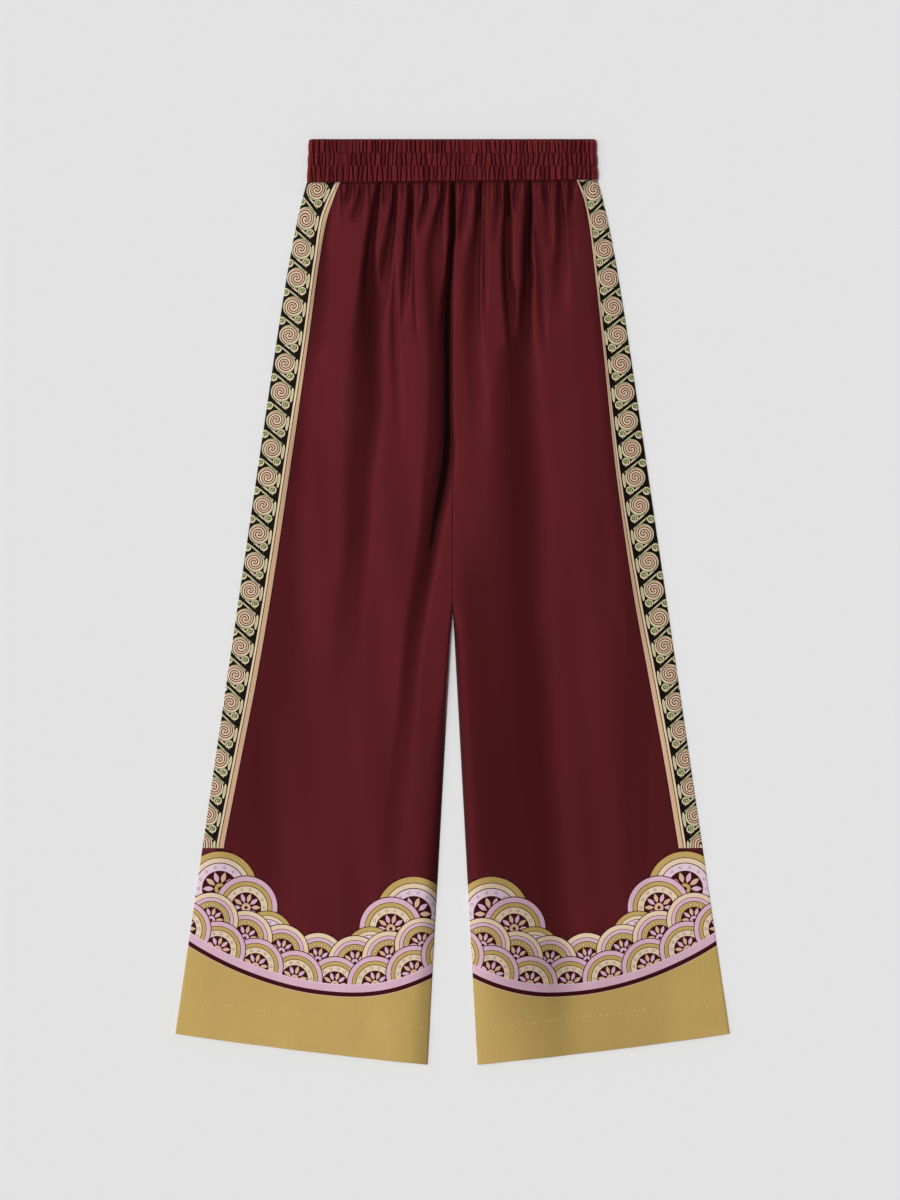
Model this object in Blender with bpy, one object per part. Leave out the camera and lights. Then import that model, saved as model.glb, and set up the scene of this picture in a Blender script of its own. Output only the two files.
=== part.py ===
"""Palazzo pants laid on their back on a table: a shirred elastic waistband over two wide, flaring legs.

Frame: X across the garment, with the wearer's left leg at +X; Y up its length, with the waistband at +Y;
Z up from the table, which is z = 0. The origin is in the middle of the flat outline. Sizes are in metres.
Each leg is a front and a back panel with its hem turned up inside. The waistband is one strip, sewn into
a ring and pressed flat, and three rows of elastic gather it. Sewn edges stand a seam gap apart.
"""

import math
from collections import namedtuple

import bmesh
import bpy

# Driving dimensions of the flat outline.
LENGTH = 1.065  # top of the waistband to the lowest corner of a hem
LEG_LENGTH = 1.000  # waist seam to hem, down the middle of a leg
WAIST_HALF_TOP = 0.1650  # half the width of the waistband along its top
WAIST_HALF_SEAM = 0.1673  # and along the waist seam
BAND_DEPTH = 0.0485  # waistband, top to seam, at the middle
SEAM_TILT = 0.0102  # rise of the waist seam for each metre to +X
HEM_WIDTH = 0.290  # one hem, straight across
HEM_HALF = 0.3191  # half the distance between the outer corners of the hems
HEM_OUTER_Y = -0.4968  # an outer corner of a hem
HEM_FALL = 0.143  # fall of the hem at that corner, for each metre inwards
HEM_EASE = 0.069  # and how that fall eases off, by the square of the distance
FLARE = 0.1458  # how far the side seam moves out for each metre down
HIP_TUCK = 0.0088  # how far the waistband draws the top of the side seam in
HIP_TUCK_FADE = 0.055  # the drop over which that eases off
LEGS_PART_Y = -0.0035  # the legs lie against each other above this
LEGS_PART_SLOPE = 0.0543  # and each inner edge leaves the middle by this much a metre below it
SEAM_GAP = 0.0003

# Layers.
CLOTH = 0.0010
HEM_CLOTH = 0.0019  # two layers, where the hem is turned up
HEM_TURN = 0.041  # depth of the turned-up hem
HEM_STEP = 0.009  # the distance in which its edge fades into the leg
BAND_WALL = 0.0024  # waistband with its elastic
BAND_SLIT = 0.0006  # air left between the front and the back of the waistband
BAND_SLIT_INSET = 0.0040  # from each side of the waistband to the end of that slit

WAIST_TOP_Y = LENGTH / 2
SEAM_Y = WAIST_TOP_Y - BAND_DEPTH
SLOPE_STEP = 0.0005  # the distance over which a slope is taken
HEM_TURN_DROP = LEG_LENGTH - HEM_TURN

# A value that changes down the leg: drops are the distances below the waist seam.
Profile = namedtuple("Profile", "drops values")
BACK_THICKNESS = Profile(
    drops=(0.0, 0.25, HEM_TURN_DROP - HEM_STEP, HEM_TURN_DROP, LEG_LENGTH),
    values=(0.0018, CLOTH, CLOTH, HEM_CLOTH, HEM_CLOTH),
)
FRONT_THICKNESS = Profile(
    drops=(0.0, HEM_TURN_DROP - HEM_STEP, HEM_TURN_DROP, LEG_LENGTH),
    values=(CLOTH, CLOTH, HEM_CLOTH, HEM_CLOTH),
)
# How far the front of a leg lies puffed up over its back, between the folds.
LOFT = Profile(
    drops=(0.0, 0.012, 0.05, 0.12, 0.26, 0.45, 0.70, 0.90, 0.955, LEG_LENGTH),
    values=(0.0030, 0.0052, 0.0084, 0.0094, 0.0090, 0.0082, 0.0061, 0.0040, 0.0026, 0.0017),
)

# The folds that hang from the waist. Each has its place across the garment, the share of the loft that it
# takes away and its half width, at these drops. A fold ends where its lists do.
FOLD_DROPS = (0.0, 0.08, 0.17, 0.30, 0.45, 0.65, 1.0)
Fold = namedtuple("Fold", "x depth width")
FOLDS = (
    Fold((-0.116, -0.124), (0.50, 0.0), (0.0035, 0.005)),
    Fold((-0.1025, -0.112), (0.50, 0.0), (0.0035, 0.005)),
    Fold(
        (-0.0843, -0.096, -0.0975, -0.099, -0.110, -0.122),
        (0.93, 0.85, 0.88, 0.68, 0.42, 0.0),
        (0.0035, 0.0055, 0.012, 0.014, 0.014, 0.015),
    ),
    Fold((-0.065, -0.073, -0.083), (0.85, 0.58, 0.0), (0.0035, 0.005, 0.006)),
    Fold((-0.0478, -0.0512, -0.057), (0.90, 0.70, 0.0), (0.0035, 0.0045, 0.006)),
    Fold((-0.0295, -0.040), (0.75, 0.0), (0.0035, 0.005)),
    Fold(
        (-0.0105, -0.020, -0.016, -0.019, -0.040),
        (0.80, 0.46, 0.44, 0.42, 0.0),
        (0.0035, 0.008, 0.010, 0.009, 0.009),
    ),
    Fold(
        (-0.0003, -0.0014, -0.0066, -0.0084, -0.034, -0.0555, -0.080),
        (1.0, 1.0, 1.0, 1.0, 0.84, 0.30, 0.0),
        (0.0045, 0.0045, 0.006, 0.008, 0.009, 0.010, 0.012),
    ),
    Fold((0.016, 0.009), (0.50, 0.0), (0.0035, 0.005)),
    Fold((0.0325, 0.0293, 0.028, 0.0315), (0.90, 0.60, 0.30, 0.0), (0.0035, 0.006, 0.008, 0.010)),
    Fold((0.0525, 0.050), (0.65, 0.0), (0.0035, 0.005)),
    Fold(
        (0.0638, 0.0622, 0.0675, 0.0725, 0.072),
        (0.90, 0.80, 0.60, 0.15, 0.0),
        (0.004, 0.005, 0.006, 0.008, 0.009),
    ),
    Fold(
        (0.089, 0.087, 0.083, 0.077, 0.077, 0.0915, 0.104),
        (0.95, 0.95, 0.80, 0.66, 0.67, 0.65, 0.0),
        (0.004, 0.0045, 0.008, 0.024, 0.030, 0.034, 0.040),
    ),
    Fold((0.106, 0.112), (0.65, 0.0), (0.0035, 0.005)),
    Fold((0.1225, 0.126, 0.124), (0.80, 0.45, 0.0), (0.0035, 0.006, 0.008)),
    Fold((0.1363, 0.138), (0.78, 0.0), (0.0035, 0.006)),
    Fold((0.153, 0.158), (0.50, 0.0), (0.0035, 0.005)),
)
SIDE_ROLL = {-1: 0.016, 1: 0.022}  # how wide the front rolls down to each side seam
INSEAM_ROLL = 0.010  # and to the inner edge of a leg
INSEAM_ROLL_DEPTH = 0.85
CROTCH_DROPS = (0.45, 0.53)  # the inner roll begins between these drops

# Small gathers under the waistband.
GATHERS = 17  # on the front of each leg
GATHER_SHAPE = (0.0, 1.0, 0.8)  # valley, crest, crest
GATHER_RISE = 0.0009
GATHER_REACH = (0.013, 0.021)  # the drops in which the shortest and the longest fade away
GATHER_CHANGE = 2.4  # how far the lengths move on from one gather to the next, in radians
GATHERED_STRIPS = GATHERS * len(GATHER_SHAPE)
UNEVEN_WAVES = ((3, 0.012), (7, 0.006))  # waves across a leg that bunch its gathers, and their sizes

# Rows of points down a leg: the strips across each row, and its distance below the waist seam.
FRONT_ROWS = (
    (GATHERED_STRIPS, (0.0, 0.006, 0.013, 0.022, 0.033, 0.046, 0.062, 0.080, 0.100, 0.125, 0.155, 0.190)),
    (34, (0.230, 0.270, 0.310, 0.350, 0.390, 0.435, 0.480, 0.530, 0.580)),
    (25, (0.640, 0.710, 0.790, 0.860, 0.920, HEM_TURN_DROP - HEM_STEP, HEM_TURN_DROP, LEG_LENGTH)),
)
BACK_ROWS = (
    (8, (0.0, 0.03, 0.09, 0.25, 0.50, 0.75, HEM_TURN_DROP - HEM_STEP, HEM_TURN_DROP, LEG_LENGTH)),
)

# The waistband: three channels of elastic, whose stitching pulls the cloth down in a row of gathers.
CHANNELS = (0.0166, 0.0144)  # depth of the upper two; the third takes the rest
BAND_GATHERS = 49  # on the front, in each channel
BAND_SHAPE = (-1.0, 1.0, 0.8)
BAND_COLUMNS = BAND_GATHERS * len(BAND_SHAPE)
BAND_LEANS = (0.0, 0.30, -0.20, 0.25)  # gathers' shift at each line of stitching, in gathers
BAND_LOW = 0.00180  # cloth over the slit at the stitching, between valley and crest
BAND_HIGH = 0.00300  # and half way down a channel
BAND_RELIEF_LOW = 0.00060  # a gather's rise and fall about these
BAND_RELIEF_HIGH = 0.00120
BAND_UNEVEN = 0.15  # share by which some gathers are weaker
BAND_CHANGE = 2.1  # how far that moves on from one gather to the next, in radians
# Smooth places: where each begins and ends across the front, and the channels that it crosses.
Smooth = namedtuple("Smooth", "start end channels")
SMOOTH_PLACES = (Smooth(-0.132, -0.119, (0, 1)), Smooth(0.013, 0.024, (0, 1, 2)))
SMOOTH_LEFT = 0.2  # share of the gathers' rise and fall that is left there
BAND_SWELL = 0.0006  # how far each channel stands out at the sides
BAND_CORNER = 0.0015  # how far the top corners are rounded in
BAND_STEPS = 3  # rows of faces down each channel
BAND_SIDE_ROUND = 0.0034  # width of the rounded fold at each side
BAND_SIDE_STEPS = 5
BAND_PLAIN_STEPS = 24  # across its back

# Colours, linear, with roughness.
BURGUNDY = (0.106, 0.0137, 0.0152)
BURGUNDY_ROUGHNESS = 0.42
BAND_BURGUNDY = (0.080, 0.0120, 0.0137)
BAND_ROUGHNESS = 0.50


# A place on a leg panel: its column among the strips of its row, its plan position and its drop.
Spot = namedtuple("Spot", "side column strips x y drop")


def smooth_step(low, high, value):
    """0 below low, 1 above high, with an even ease between them."""
    share = min(max((value - low) / (high - low), 0.0), 1.0)
    return share * share * (3.0 - 2.0 * share)


def along(drops, values, drop):
    """A value at a drop, eased from each of the listed ones to the next, and the last one past them."""
    for start, end, value, next_value in zip(drops, drops[1:], values, values[1:]):
        if drop <= end:
            return value + (next_value - value) * smooth_step(start, end, drop)
    return values[-1]


def curve_along(drops, values, drop):
    """A value at a drop, on a smooth curve through the listed ones (Catmull-Rom with uneven steps)."""
    last = len(values) - 1
    span = 0
    while span < last - 1 and drop > drops[span + 1]:
        span += 1
    before = max(span - 1, 0)
    after = min(span + 2, last)
    step = drops[span + 1] - drops[span]
    share = min(max((drop - drops[span]) / step, 0.0), 1.0)
    rise_here = (values[span + 1] - values[before]) / (drops[span + 1] - drops[before])
    rise_next = (values[after] - values[span]) / (drops[after] - drops[span])
    square, cube = share**2, share**3
    return (
        (2 * cube - 3 * square + 1) * values[span]
        + (cube - 2 * square + share) * step * rise_here
        + (3 * square - 2 * cube) * values[span + 1]
        + (cube - square) * step * rise_next
    )


def seam_y(x):
    """The waist seam, which lies a little aslant."""
    return SEAM_Y + SEAM_TILT * x


def side_edge(y):
    """Distance of the side seam from the middle."""
    tuck = HIP_TUCK * math.exp(-max(SEAM_Y - y, 0.0) / HIP_TUCK_FADE)
    return HEM_HALF + FLARE * (HEM_OUTER_Y - y) - tuck


def inner_edge(y):
    """Distance of a leg's inner edge from the middle."""
    return SEAM_GAP / 2 + LEGS_PART_SLOPE * max(LEGS_PART_Y - y, 0.0)


def hem_y(across):
    """The hem, which sinks in a shallow curve from the side seam to the inner edge."""
    inwards = (1.0 - across) * HEM_WIDTH
    return HEM_OUTER_Y - HEM_FALL * inwards + HEM_EASE * inwards**2


def leg_point(side, across, drop):
    """A point of a leg's plan: across is 0 at the inner edge and 1 at the side seam."""
    top = seam_y(side * across * WAIST_HALF_SEAM) - SEAM_GAP
    y = top + (hem_y(across) - top) * drop / LEG_LENGTH
    inner = inner_edge(y)
    return side * (inner + (side_edge(y) - inner) * across), y


def uneven(side, share):
    """Moves even steps across a leg together and apart, as its gathers lie."""
    return share + side * sum(size * math.sin(2 * math.pi * waves * share) for waves, size in UNEVEN_WAVES)


def fold_share(x, drop):
    """Share of the loft that the folds leave: 1 on smooth cloth, 0 at the bottom of a full fold."""
    share = 1.0
    for fold in FOLDS:
        drops = FOLD_DROPS[: len(fold.x)]
        depth = along(drops, fold.depth, drop)
        middle = curve_along(drops, fold.x, drop)
        width = along(drops, fold.width, drop)
        share *= 1.0 - depth * math.exp(-(((x - middle) / width) ** 2))
    return share


def front_relief(side, x, y, drop):
    """Height of a front panel over the lowest place that it could take."""
    side_roll = 1.0 - math.exp(-max(side_edge(y) - abs(x), 0.0) / SIDE_ROLL[side])
    below_crotch = smooth_step(*CROTCH_DROPS, drop)
    inseam_roll = INSEAM_ROLL_DEPTH * math.exp(-max(abs(x) - inner_edge(y), 0.0) / INSEAM_ROLL)
    loft = along(LOFT.drops, LOFT.values, drop)
    return loft * fold_share(x, drop) * side_roll * (1.0 - below_crotch * inseam_roll)


def gather_rise(column, drop):
    """Height of the small gathers at a column of points, near the waist seam."""
    gather, place = divmod(column, len(GATHER_SHAPE))
    shortest, longest = GATHER_REACH
    reach = shortest + (longest - shortest) * (0.5 + 0.5 * math.sin(GATHER_CHANGE * gather))
    return GATHER_RISE * GATHER_SHAPE[place] * math.exp(-((drop / reach) ** 2))


def front_heights(spot):
    """Top and underside of a front panel, which lies on the back panel. Its wall is as thick on a slope."""
    lowest = along(*BACK_THICKNESS, spot.drop) + SEAM_GAP
    thickness = along(*FRONT_THICKNESS, spot.drop)
    relief = front_relief(spot.side, spot.x, spot.y, spot.drop)
    beside = front_relief(spot.side, spot.x + SLOPE_STEP, spot.y, spot.drop)
    wall = thickness * math.hypot(1.0, (beside - relief) / SLOPE_STEP)
    top = lowest + thickness + relief
    under = max(top - wall, lowest)
    if spot.strips == GATHERED_STRIPS:
        top += gather_rise(spot.column, spot.drop)
    return top, under


def back_heights(spot):
    """Top and underside of a back panel, which rests flat."""
    return along(*BACK_THICKNESS, spot.drop), 0.0


def zip_rows(faces, first, second):
    """Fills the strip between two rows of vertices with triangles, however many each row has."""
    i, j = 0, 0
    while i < len(first) - 1 or j < len(second) - 1:
        if (i + 1) * (len(second) - 1) <= (j + 1) * (len(first) - 1):
            faces.append((first[i], second[j], first[i + 1]))
            i += 1
        else:
            faces.append((first[i], second[j], second[j + 1]))
            j += 1


def new_material(name, colour, roughness):
    """A plain Principled material."""
    material = bpy.data.materials.new(name)
    material.use_nodes = True
    shader = material.node_tree.nodes["Principled BSDF"]
    shader.inputs["Base Color"].default_value = (*colour, 1.0)
    shader.inputs["Roughness"].default_value = roughness
    shader.inputs["Metallic"].default_value = 0.0
    return material


def add_piece(name, points, faces, material):
    """One closed body, in the garment's collection."""
    mesh = bpy.data.meshes.new(name)
    mesh.from_pydata(points, [], faces)
    shell = bmesh.new()
    shell.from_mesh(mesh)
    bmesh.ops.recalc_face_normals(shell, faces=shell.faces)
    shell.to_mesh(mesh)
    shell.free()
    mesh.shade_smooth()
    mesh.set_sharp_from_angle(angle=math.radians(50))
    mesh.materials.append(material)
    piece = bpy.data.objects.new(name, mesh)
    garment.objects.link(piece)
    return piece


def leg_panel(name, side, row_table, heights, material):
    """One panel of a leg: a wall of cloth lofted through its rows, from the waist seam to the hem."""
    points, faces = [], []
    tops, unders = [], []
    for strips, drops in row_table:
        for drop in drops:
            tops.append([])
            unders.append([])
            for column in range(strips + 1):
                x, y = leg_point(side, uneven(side, column / strips), drop)
                top, under = heights(Spot(side, column, strips, x, y, drop))
                tops[-1].append(len(points))
                points.append((x, y, top))
                unders[-1].append(len(points))
                points.append((x, y, under))
    for rows in (tops, unders):
        for upper, lower in zip(rows, rows[1:]):
            zip_rows(faces, upper, lower)
    zip_rows(faces, tops[0], unders[0])
    zip_rows(faces, tops[-1], unders[-1])
    for end in (0, -1):
        zip_rows(faces, [row[end] for row in tops], [row[end] for row in unders])
    return add_piece(name, points, faces, material)


def band_rows():
    """Rows down the waistband, each as its channel and the share of the way down it."""
    rows = []
    for channel in range(len(CHANNELS) + 1):
        for step in range(BAND_STEPS + (channel == len(CHANNELS))):
            rows.append((channel, step / BAND_STEPS))
    return rows


def band_y(channel, share, x):
    """Y of a row of the waistband. The lowest channel ends at the aslant seam."""
    above = sum(CHANNELS[:channel])
    depth = CHANNELS[channel] if channel < len(CHANNELS) else WAIST_TOP_Y - seam_y(x) - above
    return WAIST_TOP_Y - above - depth * share


def band_half(channel, share):
    """Half width of the waistband at a row, with each channel swelling out at the sides."""
    down = (WAIST_TOP_Y - band_y(channel, share, 0.0)) / BAND_DEPTH
    corner = BAND_CORNER if (channel, share) == (0, 0.0) else 0.0
    widening = (WAIST_HALF_SEAM - WAIST_HALF_TOP) * down
    return WAIST_HALF_TOP + widening + BAND_SWELL * math.sin(math.pi * share) - corner


def gathered(channel, x):
    """Share of the gathers' rise and fall at a place on a channel."""
    inside = any(place.start < x < place.end and channel in place.channels for place in SMOOTH_PLACES)
    return SMOOTH_LEFT if inside else 1.0


def band_front(channel, share, half):
    """The front of the waistband at a row. Its gathers lean from channel to channel, but not at its ends."""
    floor = BAND_WALL + BAND_SLIT
    bulge = math.sin(math.pi * share)
    lean = BAND_LEANS[channel] + (BAND_LEANS[channel + 1] - BAND_LEANS[channel]) * share
    pitch = 2 * half / BAND_GATHERS
    row = []
    for column in range(BAND_COLUMNS + 1):
        across = 2 * column / BAND_COLUMNS - 1
        x = across * half + lean * pitch * (1.0 - across**4)
        gather, place = divmod(column, len(BAND_SHAPE))
        vigour = 1.0 - BAND_UNEVEN + BAND_UNEVEN * math.sin(BAND_CHANGE * gather + channel)
        relief = BAND_RELIEF_LOW + (BAND_RELIEF_HIGH - BAND_RELIEF_LOW) * bulge
        relief *= BAND_SHAPE[place] * vigour * gathered(channel, x)
        height = BAND_LOW + (BAND_HIGH - BAND_LOW) * bulge + relief
        row.append((x, band_y(channel, share, x), floor + height))
    return row


def band_side(channel, share, half, height, side):
    """The rounded fold at a side of the waistband, from its front down to its back."""
    middle = height / 2
    row = []
    for step in range(BAND_SIDE_STEPS + 1):
        turn = math.pi * step / BAND_SIDE_STEPS
        x = side * (half + BAND_SIDE_ROUND * math.sin(turn))
        row.append((x, band_y(channel, share, x), middle + middle * math.cos(turn)))
    return row


def plain_row(channel, share, half, height, steps=BAND_PLAIN_STEPS):
    """A level row of points across the waistband, from -X to +X."""
    row = []
    for step in range(steps + 1):
        x = half * (2 * step / steps - 1)
        row.append((x, band_y(channel, share, x), height))
    return row


def add_ring(points, parts):
    """Adds a closed row of points, given as stretches that share their ends. Returns their vertices."""
    start = len(points)
    ring = []
    for part in parts:
        ring.append([len(points) + step for step in range(len(part))])
        ring[-1][-1] = len(points) + len(part) - 1
        points.extend(part[:-1])
    ring[-1][-1] = start
    return ring


def waistband(material):
    """The waistband: a flattened ring of gathered cloth with a slit of air inside it."""
    points, faces, outer_rings, inner_rings = [], [], [], []
    rows = band_rows()
    for channel, share in rows:
        half = band_half(channel, share) - BAND_SIDE_ROUND
        front = band_front(channel, share, half)
        right = band_side(channel, share, half, front[-1][2], 1)
        left = band_side(channel, share, half, front[0][2], -1)
        back = plain_row(channel, share, half, 0.0)
        right[0], right[-1] = front[-1], back[-1]
        left[0], left[-1] = front[0], back[0]
        outer_rings.append(add_ring(points, (front, right, back[::-1], left[::-1])))
    for channel, share in (rows[0], rows[-1]):
        half = band_half(channel, share) - BAND_SLIT_INSET
        front = plain_row(channel, share, half, BAND_WALL + BAND_SLIT, BAND_COLUMNS)
        back = plain_row(channel, share, half, BAND_WALL)
        right = [front[-1], back[-1]]
        left = [back[0], front[0]]
        inner_rings.append(add_ring(points, (front, right, back[::-1], left)))
    strips = list(zip(outer_rings, outer_rings[1:]))
    strips += [tuple(inner_rings), (outer_rings[0], inner_rings[0]), (outer_rings[-1], inner_rings[-1])]
    for upper, lower in strips:
        for upper_part, lower_part in zip(upper, lower):
            zip_rows(faces, upper_part, lower_part)
    return add_piece("waistband", points, faces, material)


for existing in list(bpy.data.objects):
    bpy.data.objects.remove(existing, do_unlink=True)

garment = bpy.data.collections.new("palazzo_pants")
bpy.context.scene.collection.children.link(garment)

cloth = new_material("burgundy_cloth", BURGUNDY, BURGUNDY_ROUGHNESS)
band_cloth = new_material("waistband_cloth", BAND_BURGUNDY, BAND_ROUGHNESS)

waistband(band_cloth)
for side, side_name in ((-1, "right"), (1, "left")):
    leg_panel(f"front_{side_name}", side, FRONT_ROWS, front_heights, cloth)
    leg_panel(f"back_{side_name}", side, BACK_ROWS, back_heights, cloth)
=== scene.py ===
"""Looks for palazzo pants laid flat, front up: silk legs with printed borders, a shirred elastic waistband.

Lengths in this script are millimetres, turned into metres where a mesh is made. X runs across the garment,
with the wearer's left leg at +X, Y up to the waistband and Z up from the table. A drop is a distance below
the waist seam. Across runs from 0 at a leg's inner edge to 1 at its side seam.
"""

import math
from functools import partialmethod

import bmesh
import bpy
import numpy as np
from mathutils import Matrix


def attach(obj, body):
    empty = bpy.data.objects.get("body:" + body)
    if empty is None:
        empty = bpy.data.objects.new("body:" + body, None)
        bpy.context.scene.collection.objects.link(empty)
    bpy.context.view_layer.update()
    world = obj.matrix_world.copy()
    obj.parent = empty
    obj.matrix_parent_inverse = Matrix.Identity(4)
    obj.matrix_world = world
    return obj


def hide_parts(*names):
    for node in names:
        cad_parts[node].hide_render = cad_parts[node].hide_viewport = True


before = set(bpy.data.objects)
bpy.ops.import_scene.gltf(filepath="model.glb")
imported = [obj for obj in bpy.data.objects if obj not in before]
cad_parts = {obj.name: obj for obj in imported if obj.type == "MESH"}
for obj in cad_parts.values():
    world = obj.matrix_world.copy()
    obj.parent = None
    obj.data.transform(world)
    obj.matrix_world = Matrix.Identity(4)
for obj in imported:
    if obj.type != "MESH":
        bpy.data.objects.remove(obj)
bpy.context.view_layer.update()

MM = 0.001
SIDES = {"right": -1, "left": 1}

# The flat outline, as the solids have it.
WAIST_TOP = 532.5
SEAM = 484.0
SEAM_TILT = 0.0102
WAIST_HALF_TOP = 165.0
WAIST_HALF_SEAM = 167.3
HEM_OUTER = -496.8
HEM_HALF = 319.1
HEM_WIDTH = 290.0
HEM_FALL = 0.143
HEM_EASE = 0.000069
FLARE = 0.1458
HIP_TUCK = 8.8
HIP_TUCK_FADE = 55.0
LEGS_PART = -3.5
LEGS_PART_SLOPE = 0.0543
SEAM_GAP = 0.05
LEG_LENGTH = 1000.0

# The cloth.
CLOTH = 0.8
HEM_CLOTH = 1.5  # two layers, where the hem is turned up
HEM_TURN_DROP = 959.0  # the inner edge of that turning, where it is stitched
HEM_STEP = 9.0  # the distance in which the turning fades into the leg
LAYER_GAP = 0.15
TABLE = 0.05  # the lowest that an edge of a front panel comes


def smooth_step(low, high, value):
    """0 below low, 1 above high, with an even ease between them."""
    share = np.clip((value - low) / (high - low), 0.0, 1.0)
    return share * share * (3.0 - 2.0 * share)


def blend(first, second, share):
    """From the first value, at share 0, to the second, at share 1."""
    return first + (second - first) * share


def rounding(distance, radius):
    """The rise of a rounded edge: 0 at the edge, 1 from the radius inwards."""
    return np.sqrt(1.0 - (1.0 - np.clip(distance / radius, 0.0, 1.0)) ** 2)


def knot_slopes(knots, values):
    """Slopes at the knots of a curve that never swings past them."""
    rises = np.diff(values) / np.diff(knots)
    first, second = rises[:-1], rises[1:]
    same = first * second > 0
    total = np.where(same, first + second, 1.0)
    return np.concatenate([rises[:1], np.where(same, 2.0 * first * second / total, 0.0), rises[-1:]])


def through(rows, at, column=1):
    """A column of a table at places along its first column, on a smooth curve, level past the ends."""
    knots = np.array([row[0] for row in rows], float)
    values = np.array([row[column] for row in rows], float)
    slopes = knot_slopes(knots, values)
    at = np.clip(at, knots[0], knots[-1])
    span = np.clip(np.searchsorted(knots, at, side="right") - 1, 0, len(knots) - 2)
    step = knots[span + 1] - knots[span]
    share = (at - knots[span]) / step
    square, cube = share**2, share**3
    return (
        (2 * cube - 3 * square + 1) * values[span]
        + (cube - 2 * square + share) * step * slopes[span]
        + (3 * square - 2 * cube) * values[span + 1]
        + (cube - square) * step * slopes[span + 1]
    )


# ---- The legs' outline ----


def seam_y(x):
    """The waist seam, which lies a little aslant."""
    return SEAM + SEAM_TILT * x


def side_edge(y):
    """Distance of the side seam from the middle."""
    tuck = HIP_TUCK * np.exp(-np.maximum(SEAM - y, 0.0) / HIP_TUCK_FADE)
    return HEM_HALF + FLARE * (HEM_OUTER - y) - tuck


def inner_edge(y):
    """Distance of a leg's inner edge from the middle."""
    return SEAM_GAP / 2 + LEGS_PART_SLOPE * np.maximum(LEGS_PART - y, 0.0)


def hem_y(across):
    """The hem, which sinks in a shallow curve from the side seam to the inner edge."""
    inwards = (1.0 - across) * HEM_WIDTH
    return HEM_OUTER - HEM_FALL * inwards + HEM_EASE * inwards**2


# ---- Folds of the front ----

# Drop, and how high the front lies over its lowest place, between its creases.
LOFT = (
    (0, 3), (12, 5.4), (50, 8.6), (120, 9.6), (260, 9.2), (450, 8.4), (700, 6.2), (900, 4), (955, 2.6),
    (1000, 1.7),
)

CREASE_POWER = 2.7  # a crease is flatter at its bottom than a bell

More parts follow.
